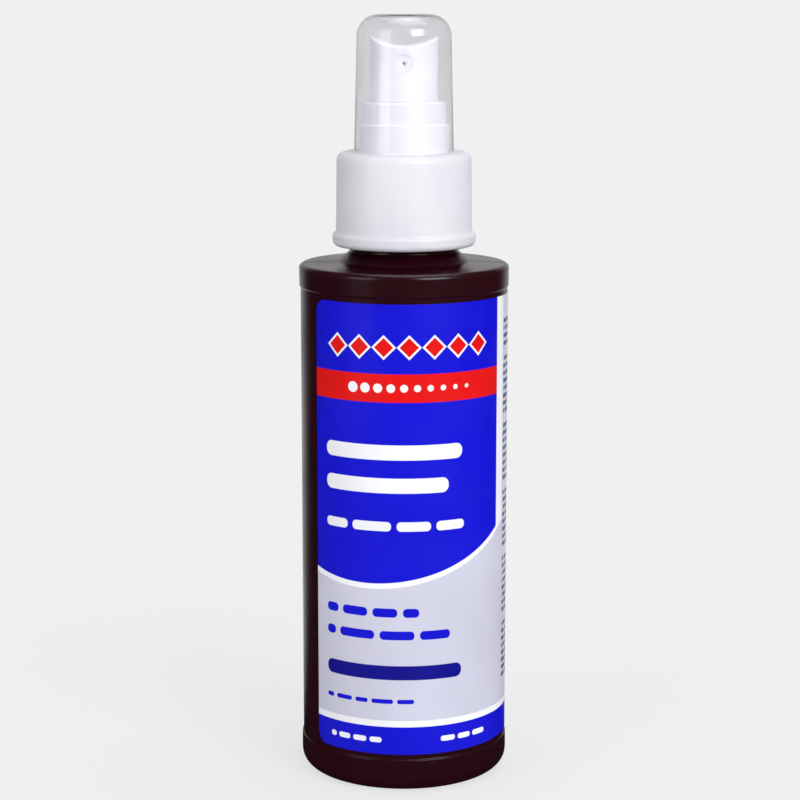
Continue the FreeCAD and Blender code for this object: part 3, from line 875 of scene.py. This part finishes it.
@dataclass(frozen=True, kw_only=True)
class PrintedFilm(Finish):
    """Gloss film printed with a blue field, a red band, a pale panel and a blue foot band."""

    name: str = "label_film"
    roughness: float = 0.3
    ior: float = 1.34
    grain: float = 3000.0
    wave: float = 120.0
    smudge_dulls: float = 0.08
    bump: float = 0.06
    fading: Point = (0.97, 1.03)
    ground: Colour = swatch(206, 206, 224)
    white: Colour = swatch(244, 245, 250)
    blue: Colour = swatch(2, 2, 210)
    deep_blue: Colour = swatch(6, 4, 140)
    red: Colour = swatch(228, 1, 1)
    small_ink: Colour = swatch(58, 68, 116)
    field_right: float = 22.5
    field_low: float = 42.95
    field_border: float = 1.1
    dip_across: float = -7.5
    dip_curve: float = 0.0104
    side_strip: float = 3.0
    lozenge_ends: Point = (-16.5, 18.5)
    lozenge_pitch: float = 5.0
    lozenge_middle: float = 90.0
    lozenge_size: float = 1.9
    lozenge_edge: float = 0.55
    band_low: float = 79.2
    band_high: float = 84.8
    dot_ends: Point = (-11.7, 14.3)
    dot_pitch: float = 2.6
    dot_sizes: Point = (1.05, 0.35)
    foot_high: float = 13.7
    foot_line: float = 1.3
    row_left: float = -17.0
    row_seed: float = 3.7
    text_low: float = 18.0
    text_high: float = 94.0
    text_pitch: float = 1.52
    text_height: float = 0.88
    text_corner: float = 0.2
    text_columns: tuple[Point, ...] = ((26.0, 50.0), (54.0, 78.0))
    text_word: float = 3.6
    text_gap: float = 0.44
    text_ragged: float = 5.0
    text_seed: float = 7.31
    paragraph: float = 9.0

    def rows(self) -> tuple[PrintRow, ...]:
        """Lay out the rows of plain bars on the front.

        Returns:
            The rows from the top down.
        """
        left, white, blue = self.row_left, self.white, self.blue
        return (
            PrintRow(left, 12.0, 67.8, 70.8, 40.0, white),
            PrintRow(left, 9.0, 61.2, 64.2, 40.0, white),
            PrintRow(left, 12.5, 53.6, 55.5, 9.0, white),
            PrintRow(left, 3.0, 36.2, 38.0, 6.5, blue),
            PrintRow(left, 10.2, 31.6, 33.4, 7.5, blue),
            PrintRow(left, 12.0, 23.4, 26.3, 60.0, self.deep_blue),
            PrintRow(left, 2.0, 18.5, 19.4, 4.5, blue, 0.8),
            PrintRow(-16.0, -4.5, 10.4, 11.5, 3.5, white, 0.7),
            PrintRow(7.5, 18.8, 10.4, 11.5, 4.5, white, 0.7),
        )

    def fine_print(self, sheet: PrintSheet) -> Value:
        """Draw columns of small bars in paragraphs, as the side of a label carries them.

        Args:
            sheet: The label.

        Returns:
            The mask of the small bars.
        """
        nodes = sheet.nodes
        lines = (sheet.up - self.text_low) / self.text_pitch
        line = nodes.math("FLOOR", lines)
        height = self.text_height / 2 - abs(lines - line - MIDDLE) * self.text_pitch
        kept = nodes.math("GREATER_THAN", nodes.math("MODULO", line, self.paragraph), MIDDLE)
        inside = sheet.edge(sheet.between(sheet.up, self.text_low, self.text_high))
        breaks = sheet.breaks(self.text_word, line * self.text_seed) - self.text_gap / 2
        drawn = nodes.take("ShaderNodeTexWhiteNoise", "Value", {"W": line}, noise_dimensions="1D")
        columns = []
        for left, right in self.text_columns:
            ends = sheet.between(sheet.across, left, right - drawn * self.text_ragged)
            along = nodes.math("MINIMUM", ends, breaks)
            column = sheet.block.use(nodes, Along=along, Across=height, Corner=self.text_corner)
            columns.append(column["Mask"])
        return sum(columns) * kept * inside

    def lozenges(self, sheet: PrintSheet) -> Value:
        """Draw a row of small lozenges across the top of the blue field.

        Args:
            sheet: The label.

        Returns:
            The distance inside the nearest lozenge, negative outside the row.
        """
        left, right = self.lozenge_ends
        cell = sheet.nodes.math("FRACT", (sheet.across - left) / self.lozenge_pitch)
        aside = abs(cell - MIDDLE) * self.lozenge_pitch
        inside = self.lozenge_size - (aside + abs(sheet.up - self.lozenge_middle))
        ends = sheet.between(sheet.across, left, right) * self.lozenge_pitch
        return sheet.nodes.math("MINIMUM", inside, ends)

    def dots(self, sheet: PrintSheet) -> Value:
        """Draw a row of dots along the red band, smaller towards the right, like a fading mist.

        Args:
            sheet: The label.

        Returns:
            The mask of the dots.
        """
        nodes = sheet.nodes
        left, right = self.dot_ends
        first, last = self.dot_sizes
        cell = (sheet.across - left) / self.dot_pitch
        aside = (nodes.math("FRACT", cell) - MIDDLE) * self.dot_pitch
        above = sheet.up - (self.band_low + self.band_high) / 2
        shrinking = (last - first) * self.dot_pitch / (right - left)
        size = nodes.math("FLOOR", cell) * shrinking + first
        dots = sheet.edge(size - nodes.math("SQRT", aside * aside + above * above))
        return dots * sheet.edge(sheet.between(sheet.across, left, right))

    def paint(self, nodes: Nodes, effects: Effects, texture: dict[str, Value]) -> Value:
        """Print the label on its own map, which is in millimetres round and up it.

        Args:
            nodes: The material's tree.
            effects: The shared shader groups.
            texture: The outputs of the fine texture.

        Returns:
            The printed colour.
        """
        across, up, _ = nodes.split(nodes.take("ShaderNodeUVMap", 0, uv_map="wrap"))
        sheet = PrintSheet(nodes, effects.block, across, up, self.ground)
        from_dip = across - self.dip_across
        above = up - (from_dip * from_dip * self.dip_curve + self.field_low)
        beside = self.field_right - across
        border = nodes.math("MINIMUM", above + self.field_border, beside + self.side_strip)
        blue_field = sheet.edge(nodes.math("MINIMUM", above, beside))
        band = sheet.edge(sheet.between(up, self.band_low, self.band_high))
        foot = self.foot_high - up
        sheet.lay(sheet.edge(border), self.white)
        sheet.lay(self.fine_print(sheet), self.small_ink)
        sheet.lay(blue_field, self.blue)
        sheet.lay(band * blue_field, self.red)
        sheet.lay(sheet.edge(foot + self.foot_line), self.white)
        sheet.lay(sheet.edge(foot), self.blue)
        for i, row in enumerate(self.rows()):
            sheet.lay(sheet.bars(row, self.row_seed * i), row.ink)
        sheet.lay(self.dots(sheet), self.white)
        lozenge = self.lozenges(sheet)
        sheet.lay(sheet.edge(lozenge + self.lozenge_edge), self.white)
        sheet.lay(sheet.edge(lozenge), self.red)
        fading = nodes.ramp(texture["Mottle"], 0.0, 1.0, *self.fading)
        return nodes.take("ShaderNodeHueSaturation", 0, {"Value": fading, "Color": sheet.colour})


@dataclass
class Bottle:
    """Blow-moulded bottle with a recessed label panel, a flared neck and a screw thread."""

    finish: MouldedPlastic
    wall: float = 1.0
    heel: float = 5.0
    push_up: float = 1.6
    push_up_radius: float = 11.0
    standing_ring: float = 2.4
    panel_recess: float = 0.25
    panel_margin: float = 1.0
    panel_edge: float = 0.2
    shoulder_slope: float = math.tan(math.radians(3.0))
    shoulder_edge: float = 1.0
    finish_height: float = 15.15
    neck_radius: float = 10.75
    neck_bore: float = 8.75
    neck_root_edge: float = 0.8
    flare_width: float = 2.35
    flare_height: float = 2.2
    flare_edge: float = 1.0
    mouth_edge: float = 0.4
    thread_height: float = 1.1
    thread_pitch: float = 3.175
    thread_turns: float = 1.5
    thread_root: float = 2.0
    thread_crest: float = 0.9
    thread_drop: float = 1.3
    run_out: float = 40 / 360
    seam_height: float = 0.05
    seam_half: float = 0.2
    seam_columns: tuple[float, ...] = (-0.7, -0.3, 0.0, 0.3, 0.7)
    seam_clear: float = 1.2
    columns: int = 176
    longest_row: float = 6.0

    def thread_foot(self) -> float:
        """Give the level of the thread's lower end, in millimetres."""
        mouth = level("bottle", Level.HIGH)
        return mouth - self.thread_drop - self.thread_root / 2 - self.thread_pitch * self.thread_turns

    def corners(self) -> list[Corner]:
        """Give the outline of the wall, from under the foot, up the outside and down the inside.

        Returns:
            The corners in order.
        """
        body, mouth = reach("bottle"), level("bottle", Level.HIGH)
        panel = body - self.panel_recess
        inner = panel - self.wall
        low = level("wrap_label", Level.LOW) - self.panel_margin
        high = level("wrap_label", Level.HIGH) + self.panel_margin
        root = mouth - self.finish_height
        flare = self.neck_radius + self.flare_width
        flare_foot = root - self.flare_height
        shoulder = flare_foot - (body - flare) * self.shoulder_slope
        ring = body - self.heel - self.standing_ring
        inner_flare = self.neck_bore + self.flare_width
        ceiling = shoulder - self.wall
        roof, roof_edge = [ceiling + (body - r) * self.shoulder_slope for r in (inner_flare, inner)]
        return [
            Corner(0, self.push_up),
            Corner(self.push_up_radius, self.push_up, self.heel),
            Corner(ring, 0, self.wall),
            Corner(body, 0, self.heel),
            Corner(body, low - self.panel_recess, self.panel_edge),
            Corner(panel, low, self.panel_edge),
            Corner(panel, high, self.panel_edge),
            Corner(body, high + self.panel_recess, self.panel_edge),
            Corner(body, shoulder, self.shoulder_edge),
            Corner(flare, flare_foot, self.flare_edge),
            Corner(self.neck_radius, root, self.neck_root_edge),
            Corner(self.neck_radius, mouth, self.mouth_edge),
            Corner(self.neck_bore, mouth, self.mouth_edge),
            Corner(self.neck_bore, root - self.wall, self.neck_root_edge),
            Corner(inner_flare, roof, self.flare_edge),
            Corner(inner, roof_edge, self.shoulder_edge),
            Corner(inner, self.wall, self.heel - self.wall / 2),
            Corner(ring, self.wall, self.wall),
            Corner(self.push_up_radius, self.push_up + self.wall, self.heel),
            Corner(0, self.push_up + self.wall),
        ]

    def seam_angles(self) -> list[float]:
        """Give the columns' angles, with close ones at the two mould seams.

        Returns:
            The angles in order.
        """
        clear = math.radians(self.seam_clear)
        angles = [a for a in even_turn(self.columns) if min(a % math.pi, math.pi - a % math.pi) > clear]
        for side in (0.0, math.pi):
            angles += [(side + math.radians(column)) % FULL_TURN for column in self.seam_columns]
        return sorted(angles)

    def raise_seams(self, mesh: Mesh) -> None:
        """Raise a low seam on both sides of the bottle, outside the label panel.

        Args:
            mesh: The bottle's mesh.
        """
        low, high = level("wrap_label", Level.LOW) * MM, level("wrap_label", Level.HIGH) * MM
        margin = 2 * self.panel_margin * MM
        root = (level("bottle", Level.HIGH) - self.finish_height) * MM
        for vertex in mesh.vertices:
            place = vertex.co
            flat = Vector((place.x, place.y, 0))
            outside = (vertex.normal.dot(flat) > 0 or place.z > high) and place.z < root
            plain = self.wall * MM < place.z < low - margin or place.z > high + margin
            share = 1 - abs(place.y) / (self.seam_half * MM)
            if outside and plain and flat.length > self.neck_radius * MM and share > 0:
                vertex.co = place + vertex.normal * (self.seam_height * MM * share)

    def build(self, effects: Effects, ridge: Rule) -> None:
        """Build and dress the bottle.

        Args:
            effects: The shared shader groups.
            ridge: The rule that raises the thread.
        """
        material = self.finish.material(effects)
        points = close_rows(outline(self.corners(), self.longest_row), self.neck_radius)
        mesh = turned("brown_bottle_shell", points, self.seam_angles())
        self.raise_seams(mesh)
        obj = smooth_object("brown_bottle_shell", mesh)
        ridge.apply(obj, material, Wall=self.neck_radius * MM, Height=self.thread_height * MM,
                    Foot=self.thread_foot() * MM, Pitch=self.thread_pitch * MM, Turns=self.thread_turns,
                    Root=self.thread_root * MM, Crest=self.thread_crest * MM, Run_Out=self.run_out)
        finish_piece(obj, material, "bottle", "bottle")


@dataclass
class WrapLabel:
    """Thin printed film round the bottle, open on the left, with rounded corners."""

    finish: PrintedFilm
    thickness: float = 0.1
    left_edge: float = math.radians(55.5)
    gap: float = math.radians(38.0)
    corner: float = 2.5
    columns: int = 200
    corner_steps: int = 8
    straight_steps: int = 10

    def heights(self, low: float, high: float) -> list[float]:
        """Give the rows' levels, close together at the rounded corners.

        Args:
            low, high: The label's edges, in millimetres.

        Returns:
            The levels from low to high.
        """
        turns = [QUARTER_TURN * i / self.corner_steps for i in range(self.corner_steps + 1)]
        rounding = [self.corner * (1 - math.cos(turn)) for turn in turns]
        step = (high - low - 2 * self.corner) / self.straight_steps
        straight = [low + self.corner + step * i for i in range(1, self.straight_steps)]
        return [low + r for r in rounding] + straight + [high - r for r in reversed(rounding)]

    def flat_rows(self) -> list[list[Point]]:
        """Lay the label out flat, in millimetres round and up it, with its corners drawn in.

        Returns:
            The rows of places from low to high.
        """
        radius = reach("wrap_label")
        low, high = level("wrap_label", Level.LOW), level("wrap_label", Level.HIGH)
        rows = []
        for z in self.heights(low, high):
            short = max(self.corner - min(z - low, high - z), 0.0)
            inset = self.corner - math.sqrt(max(self.corner ** 2 - short ** 2, 0.0))
            start = inset - self.left_edge * radius
            length = (FULL_TURN - self.gap) * radius - 2 * inset
            rows.append([(start + length * i / self.columns, z) for i in range(self.columns + 1)])
        return rows

    def border(self, grid: list[list[bmesh.types.BMVert]]) -> list[bmesh.types.BMVert]:
        """Walk once round the edge of a grid."""
        right, left = [row[-1] for row in grid[1:]], [row[0] for row in grid[-2:0:-1]]
        return grid[0] + right + grid[-1][-2::-1] + left

    def wrapped(self, rows: list[list[Point]]) -> Mesh:
        """Wrap the flat rows round the bottle as a closed film, with the flat places as its map.

        Args:
            rows: The rows of flat places.

        Returns:
            The film's mesh.
        """
        outer = reach("wrap_label")
        sheet = bmesh.new()
        wrap = sheet.loops.layers.uv.new("wrap")
        flat = {}
        borders = []
        for radius in (outer, outer - self.thickness):
            grid = []
            for row in rows:
                around = [(math.sin(across / outer), -math.cos(across / outer), z) for across, z in row]
                places = [Vector((radius * x, radius * y, z)) * MM for x, y, z in around]
                grid.append([sheet.verts.new(place) for place in places])
                flat.update(zip(grid[-1], row))
            for near, far in zip(grid, grid[1:]):
                for i in range(self.columns):
                    sheet.faces.new((near[i], near[i + 1], far[i + 1], far[i]))
            borders.append(self.border(grid))
        for i, (front, back) in enumerate(zip(*borders)):
            sheet.faces.new((front, borders[0][i - 1], borders[1][i - 1], back))
        for face in sheet.faces:
            for loop in face.loops:
                loop[wrap].uv = flat[loop.vert]
        return closed_mesh("printed_wrap_label", sheet)

    def build(self, effects: Effects) -> None:
        """Build and dress the label."""
        obj = smooth_object("printed_wrap_label", self.wrapped(self.flat_rows()))
        finish_piece(obj, self.finish.material(effects), "bottle", "wrap_label")


@dataclass
class Closure:
    """White screw collar with a bead at its foot and a guide chimney for the button."""

    draft: float = 0.2
    wall: float = 1.25
    bead_width: float = 0.9
    bead_height: float = 2.4
    top_edge: float = 1.6
    deck_height: float = 18.6
    deck: float = 2.1
    seat_width: float = 0.6
    seat_height: float = 5.6
    seat_edge: float = 0.15
    chimney: float = 8.4
    chimney_wall: float = 1.3
    lip: float = 0.4
    fine_edge: float = 0.1
    groove: float = 0.4
    groove_half: float = 0.65
    thread_turns: float = 1.25
    thread_root: float = 1.8
    thread_crest: float = 0.8
    columns: int = 176
    longest_row: float = 4.0

    def corners(self, bore: float) -> list[Corner]:
        """Give the outline of the collar and its chimney.

        Args:
            bore: The radius of the threaded bore, in millimetres.

        Returns:
            The corners in order.
        """
        low, top = level("closure", Level.LOW), level("closure", Level.HIGH)
        bead = reach("closure")
        side = bead - self.bead_width
        bead_top = low + self.bead_height
        deck_top = low + self.deck_height
        seat = self.chimney + self.seat_width
        inside = self.chimney - self.chimney_wall
        return [
            Corner(bore, low, self.lip),
            Corner(bead, low, self.bead_height / 2),
            Corner(bead, bead_top, self.bead_height / 4),
            Corner(side + self.draft, bead_top + (self.bead_width - self.draft) / 2, self.lip),
            Corner(side, deck_top, self.top_edge),
            Corner(seat, deck_top, self.seat_edge),
            Corner(seat, deck_top + self.seat_height, self.lip),
            Corner(self.chimney, deck_top + self.seat_height, self.fine_edge),
            Corner(self.chimney, top, self.lip),
            Corner(inside, top, self.lip),
            Corner(inside, deck_top + self.groove_half, self.fine_edge),
            Corner(inside + self.groove, deck_top + self.groove_half),
            Corner(inside + self.groove, deck_top - self.groove_half),
            Corner(inside, deck_top - self.groove_half, self.fine_edge),
            Corner(inside, deck_top - self.deck, self.fine_edge),
            Corner(bore, deck_top - self.deck, self.lip),
        ]

    def build(self, ridge: Rule, material: Material, bottle: Bottle) -> None:
        """Build and dress the closure.

        Args:
            ridge: The rule that raises the thread.
            material: The white plastic.
            bottle: The bottle, whose thread this one follows half a pitch below.
        """
        bore = reach("closure") - self.bead_width - self.wall
        points = close_rows(outline(self.corners(bore), self.longest_row), bore)
        obj = smooth_object("screw_collar", turned("screw_collar", points, even_turn(self.columns)))
        foot = bottle.thread_foot() - bottle.thread_pitch / 2
        ridge.apply(obj, material, Wall=bore * MM, Height=-bottle.thread_height * MM, Foot=foot * MM,
                    Pitch=bottle.thread_pitch * MM, Turns=self.thread_turns, Root=self.thread_root * MM,
                    Crest=self.thread_crest * MM, Run_Out=bottle.run_out)
        finish_piece(obj, material, "closure", "closure")


@dataclass
class Overcap:
    """Clear hood, a push fit round the foot of the chimney."""

    finish: ClearPlastic
    wall: float = 0.85
    lean: float = math.tan(math.radians(1.3))
    top_edge: float = 4.2
    grip: float = 5.6
    grip_edge: float = 0.6
    columns: int = 128
    longest_row: float = 3.0

    def corners(self) -> list[Corner]:
        """Give the outline of the hood, which leans inwards above its grip.

        Returns:
            The corners in order.
        """
        low, top = level("overcap", Level.LOW), level("overcap", Level.HIGH)
        foot = reach("overcap")
        inside = foot - self.wall
        lean = (top - low) * self.lean
        return [
            Corner(foot, low, self.wall / 4),
            Corner(foot - lean, top, self.top_edge),
            Corner(0, top),
            Corner(0, top - self.wall),
            Corner(inside - lean, top - self.wall, self.top_edge - self.wall),
            Corner(inside, low + self.grip, self.grip_edge),
            Corner(inside, low, self.wall / 4),
        ]

    def build(self, effects: Effects) -> None:
        """Build and dress the overcap.

        Args:
            effects: The shared shader groups.
        """
        mesh = turned("clear_hood", outline(self.corners(), self.longest_row), even_turn(self.columns))
        obj = smooth_object("clear_hood", mesh)
        finish_piece(obj, self.finish.material(effects), "overcap", "overcap")


@dataclass
class Button:
    """Finger button with a saddle top, a skirt in the chimney and a well for the spray tip."""

    skirt: float = 1.2
    skirt_edge: float = 0.2
    saddle: float = 2.0
    edge: float = 0.5
    roof: float = 1.5
    column: float = 3.2
    socket: float = 2.02
    socket_depth: float = 6.05
    socket_edge: float = 0.1
    well: float = 1.82
    well_relief: float = 0.05
    well_columns: int = 64
    lip: float = 0.4
    columns: int = 144
    longest_row: float = 0.5

    def corners(self, radius: float, ceiling: float) -> list[Corner]:
        """Give the outline of the button with a flat top.

        Args:
            radius: The button's radius, in millimetres.
            ceiling: The level under its roof, in millimetres.

        Returns:
            The corners in order.
        """
        low = level("actuator", Level.LOW)
        top = ceiling + self.roof + self.saddle
        inside = radius - self.skirt
        return [
            Corner(0, top),
            Corner(radius, top, self.edge),
            Corner(radius, low, self.lip),
            Corner(inside, low, self.skirt_edge),
            Corner(inside, ceiling, self.lip),
            Corner(self.column, ceiling, self.lip),
            Corner(self.column, low, self.skirt_edge),
            Corner(self.socket, low, self.skirt_edge),
            Corner(self.socket, low + self.socket_depth, self.socket_edge),
            Corner(0, low + self.socket_depth),
        ]

    def sink_saddle(self, mesh: Mesh, radius: float, ceiling: float) -> None:
        """Sink the flat top into a round saddle that runs from front to back.

        Args:
            mesh: The button's mesh.
            radius: The button's radius, in millimetres.
            ceiling: The level under its roof, in millimetres.
        """
        curve = (radius ** 2 + self.saddle ** 2) / (2 * self.saddle)
        still = ceiling + self.roof / 2
        moving = self.roof / 2 + self.saddle - self.edge
        for vertex in mesh.vertices:
            share = min((vertex.co.z / MM - still) / moving, 1.0)
            if share > 0:
                rise = curve - math.sqrt(curve ** 2 - (vertex.co.x / MM) ** 2)
                vertex.co.z -= (self.saddle - rise) * share * MM

    def bore_well(self, obj: Object, back: float, front: float, height: float) -> None:
        """Bore the well that the spray tip is pressed into.

        Args:
            obj: The button.
            back, front: The well's ends, in millimetres in front of the button's axis.
            height: The level of the well's axis, in millimetres.
        """
        half_step = math.pi / self.well_columns
        angles = [turn + half_step for turn in even_turn(self.well_columns)]
        mesh = turned("well_cutter", [(0, back), (self.well, back), (self.well, front), (0, front)], angles)
        mesh.transform(Matrix.Translation((0, 0, height * MM)) @ Matrix.Rotation(QUARTER_TURN, 4, "X"))
        cutter = put_in_scene("well_cutter", mesh)
        modifier = obj.modifiers.new("well", "BOOLEAN")
        modifier.object = cutter
        modifier.operation = "DIFFERENCE"
        modifier.solver = "EXACT"
        baked(obj)
        bpy.data.objects.remove(cutter)

    def build(self, material: Material) -> None:
        """Build and dress the button.

        Args:
            material: The white plastic.
        """
        radius = reach("actuator")
        tip_low, tip_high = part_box("nozzle_insert")
        ceiling = tip_high.z / MM
        points = outline(self.corners(radius, ceiling), self.longest_row)
        mesh = turned("finger_button", points, even_turn(self.columns))
        self.sink_saddle(mesh, radius, ceiling)
        obj = smooth_object("finger_button", mesh)
        tip_height = (tip_low.z + tip_high.z) / 2 / MM
        self.bore_well(obj, -tip_high.y / MM - self.well_relief, 2 * radius, tip_height)
        finish_piece(obj, material, "button", "actuator")


@dataclass(frozen=True)
class Coil:
    """One spring: its piece, CAD node and body, the joint that shortens it, its wire and its turns."""

    piece: str
    node: str
    body: str
    joint: str
    wire: float
    turns: float

    def build(self, rule: Rule, steel: Material) -> None:
        """Wind and dress the spring and give it a mesh of its own; the share of its length that its joint's
        travel leaves is worked out but not used.

        Args:
            rule: The rule that winds wire.
            steel: The steel.
        """
        low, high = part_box(self.node)
        obj = smooth_object(self.piece, bpy.data.meshes.new(self.piece))
        rule.apply(obj, steel, Coil=2 * high.x, Wire=self.wire * MM, Low=low.z, High=high.z,
                   Turns=self.turns)
        finish_piece(obj, steel, self.body, self.node)
        row = next(joint for joint in frame["joints"] if joint["name"] == self.joint)
        still = row["deforming_nodes"][0]["fixed_end_z_m"]
        length = max(abs(end.z - still) for end in (low, high))
        keep = 1 - max(row["range_m"]) / length
        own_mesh(obj)


@dataclass
class Pump:
    """Pump cylinder, plunger, valves and springs inside the bottle."""

    natural: MouldedPlastic
    tube: MouldedPlastic
    washer: FoamedWasher
    steel: DrawnSteel
    coils: tuple[Coil, ...] = (
        Coil("return_coil", "return_spring", "pump", "pump_stroke", wire=0.7, turns=8.0),
        Coil("valve_coil", "valve_spring", "plunger", "piston_lift", wire=0.5, turns=3.0),
    )
    natural_nodes: tuple[str, ...] = ("pump_housing", "housing_cap", "stem", "piston", "valve_pin")

    def build(self, effects: Effects, rule: Rule, white: Material) -> None:
        """Wind the springs and dress the CAD pieces of the pump.

        Args:
            effects: The shared shader groups.
            rule: The rule that winds wire.
            white: The white plastic, for the spray tip.
        """
        steel = self.steel.material(effects)
        for coil in self.coils:
            coil.build(rule, steel)
        dressed = dict.fromkeys(self.natural_nodes, self.natural.material(effects))
        dressed |= {"dip_tube": self.tube.material(effects), "neck_gasket": self.washer.material(effects),
                    "inlet_ball": steel, "nozzle_insert": white}
        for node, material in dressed.items():
            frame["nodes"][node].data.materials[0] = material
            log.info("%s: CAD piece in %s", node, material.name)


def point_at(obj: Object, place: Vector, target: Vector) -> None:
    """Move a lamp or camera to a place and turn it towards a target."""
    obj.location = place
    obj.rotation_euler = (target - place).to_track_quat("-Z", "Y").to_euler()


@dataclass(frozen=True)
class Lamp:
    """A soft rectangular lamp, in metres and watts."""

    name: str
    place: Place
    size: Point
    power: float

    def hang(self, target: Place) -> None:
        """Hang the lamp in the scene.

        Args:
            target: What it faces.
        """
        light = bpy.data.lights.new(self.name, "AREA")
        light.shape = "RECTANGLE"
        light.size, light.size_y = self.size
        light.energy = self.power
        point_at(put_in_scene(self.name, light), Vector(self.place), Vector(target))


@dataclass
class Studio:
    """Pale floor and surroundings, soft lamps and the camera, in metres."""

    pale: float = 0.871
    floor_half: float = 3.0
    shadow: float = 0.22
    shadow_reach: Point = (0.03, 0.2)
    dark: Colour = (0.02, 0.02, 0.02, 1.0)
    behind: Point = (0.6, 0.95)
    mirrored: Point = (0.06, 0.58)
    fill: float = 0.36
    lamps: tuple[Lamp, ...] = (
        Lamp("key", (0.75, -1.1, 0.75), (0.8, 0.8), 13.0),
        Lamp("fill", (-1.0, -0.9, 0.5), (0.7, 0.9), 4.0),
        Lamp("top", (0.1, 0.1, 1.2), (0.9, 0.9), 5.0),
    )
    lamps_face: Place = (0.0, 0.0, 0.08)
    pitch: float = math.radians(10.32)
    distance: float = 0.4723
    aim: Place = (-0.0008, 0.0, 0.076)
    lens: float = 104.9

    def floor_material(self) -> Material:
        """Make the floor pale to the camera, with a soft shadow, and dark in front for reflections.

        Returns:
            The material.
        """
        material = bpy.data.materials.new("pale_floor")
        nodes = fresh_nodes(material)
        paths = nodes.add("ShaderNodeLightPath").outputs
        place = nodes.take("ShaderNodeTexCoord", "Object")
        away = nodes.take("ShaderNodeVectorMath", "Value", {0: place}, operation="LENGTH")
        pale = (self.pale, self.pale, self.pale, 1.0)
        lit = nodes.take("ShaderNodeBsdfDiffuse", 0, {"Color": pale})
        glow = nodes.take("ShaderNodeEmission", 0, {"Color": pale})
        dark = nodes.take("ShaderNodeBsdfDiffuse", 0, {"Color": self.dark})
        seen = nodes.math("MAXIMUM", paths["Is Camera Ray"], paths["Is Transmission Ray"])
        even = seen * nodes.ramp(away, *self.shadow_reach, 1 - self.shadow, 1.0)
        shown = nodes.take("ShaderNodeMixShader", 0, {0: even, 1: lit, 2: glow})
        _, y, _ = nodes.split(place)
        in_front = nodes.ramp(y / away, *self.behind, 1.0, 0.0)
        mirrored = nodes.math("SUBTRACT", paths["Is Glossy Ray"], paths["Is Transmission Ray"], clamp=True)
        whole = nodes.take("ShaderNodeMixShader", 0, {0: mirrored * in_front, 1: shown, 2: dark})
        nodes.add("ShaderNodeOutputMaterial", {"Surface": whole})
        return material

    def floor(self) -> None:
        """Lay the floor."""
        half = self.floor_half
        mesh = bpy.data.meshes.new("pale_floor")
        corners = [(-half, -half, 0), (half, -half, 0), (half, half, 0), (-half, half, 0)]
        mesh.from_pydata(corners, [], [range(len(corners))])
        mesh.materials.append(self.floor_material())
        put_in_scene("pale_floor", mesh)

    def surroundings(self) -> None:
        """Set the world: pale to the camera and behind the object, dim in front for reflections."""
        world = bpy.data.worlds.new("studio")
        bpy.context.scene.world = world
        nodes = fresh_nodes(world)
        paths = nodes.add("ShaderNodeLightPath").outputs
        _, y, _ = nodes.split(nodes.take("ShaderNodeTexCoord", "Generated"))
        strengths = (self.fill, nodes.ramp(y, *self.behind, *self.mirrored), self.pale)
        backgrounds = [{"Color": WHITE, "Strength": strength} for strength in strengths]
        fill, mirrored, seen = [nodes.take("ShaderNodeBackground", 0, inputs) for inputs in backgrounds]
        lit = nodes.take("ShaderNodeMixShader", 0, {0: paths["Is Glossy Ray"], 1: fill, 2: mirrored})
        direct = nodes.math("MAXIMUM", paths["Is Camera Ray"], paths["Is Transmission Ray"])
        whole = nodes.take("ShaderNodeMixShader", 0, {0: direct, 1: lit, 2: seen})
        nodes.add("ShaderNodeOutputWorld", {"Surface": whole})

    def camera(self) -> None:
        """Set the camera at the photograph's angle."""
        data = bpy.data.cameras.new("camera")
        data.lens = self.lens
        aim = Vector(self.aim)
        back = Vector((0, -math.cos(self.pitch), math.sin(self.pitch)))
        obj = put_in_scene("camera", data)
        point_at(obj, aim + back * self.distance, aim)
        bpy.context.scene.camera = obj

    def build(self) -> None:
        """Build the floor, surroundings, lamps and camera."""
        self.floor()
        self.surroundings()
        for lamp in self.lamps:
            lamp.hang(self.lamps_face)
        self.camera()
        bpy.context.scene.view_settings.view_transform = "Standard"


def main() -> None:
    """Build the pieces in order, from the bottle up."""
    logging.basicConfig(level=logging.INFO, format="%(name)s: %(message)s")
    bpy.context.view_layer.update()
    effects = Effects()
    ridge = helical_ridge()
    white = MouldedPlastic(name="white_plastic", roughness=0.34, colour=swatch(229, 229, 236),
                           mottle=swatch(221, 221, 231)).material(effects)
    brown = MouldedPlastic(name="brown_bottle", roughness=0.2, colour=swatch(43, 7, 17),
                           mottle=swatch(36, 5, 13), wave=160.0, bump=0.1, ior=1.42)
    clear = ClearPlastic(name="clear_plastic", roughness=0.1, tint=swatch(245, 244, 247))
    natural = MouldedPlastic(name="natural_plastic", roughness=0.4, colour=swatch(226, 227, 224),
                             mottle=swatch(214, 216, 214))
    tube = MouldedPlastic(name="tube_plastic", roughness=0.36, colour=swatch(230, 232, 230),
                          mottle=swatch(220, 223, 222), wave=400.0)
    washer = FoamedWasher(name="washer_foam", roughness=0.75, colour=swatch(240, 240, 236),
                          pit_shade_colour=swatch(222, 222, 216))
    steel = DrawnSteel(name="spring_steel", roughness=0.24, colour=swatch(196, 197, 200),
                       tarnish=swatch(170, 170, 172))
    bottle = Bottle(brown)
    bottle.build(effects, ridge)
    WrapLabel(PrintedFilm()).build(effects)
    Closure().build(ridge, white, bottle)
    Overcap(clear).build(effects)
    Button().build(white)
    Pump(natural, tube, washer, steel).build(effects, wound_wire(), white)
    Studio().build()


if __name__ == "__main__":
    main()
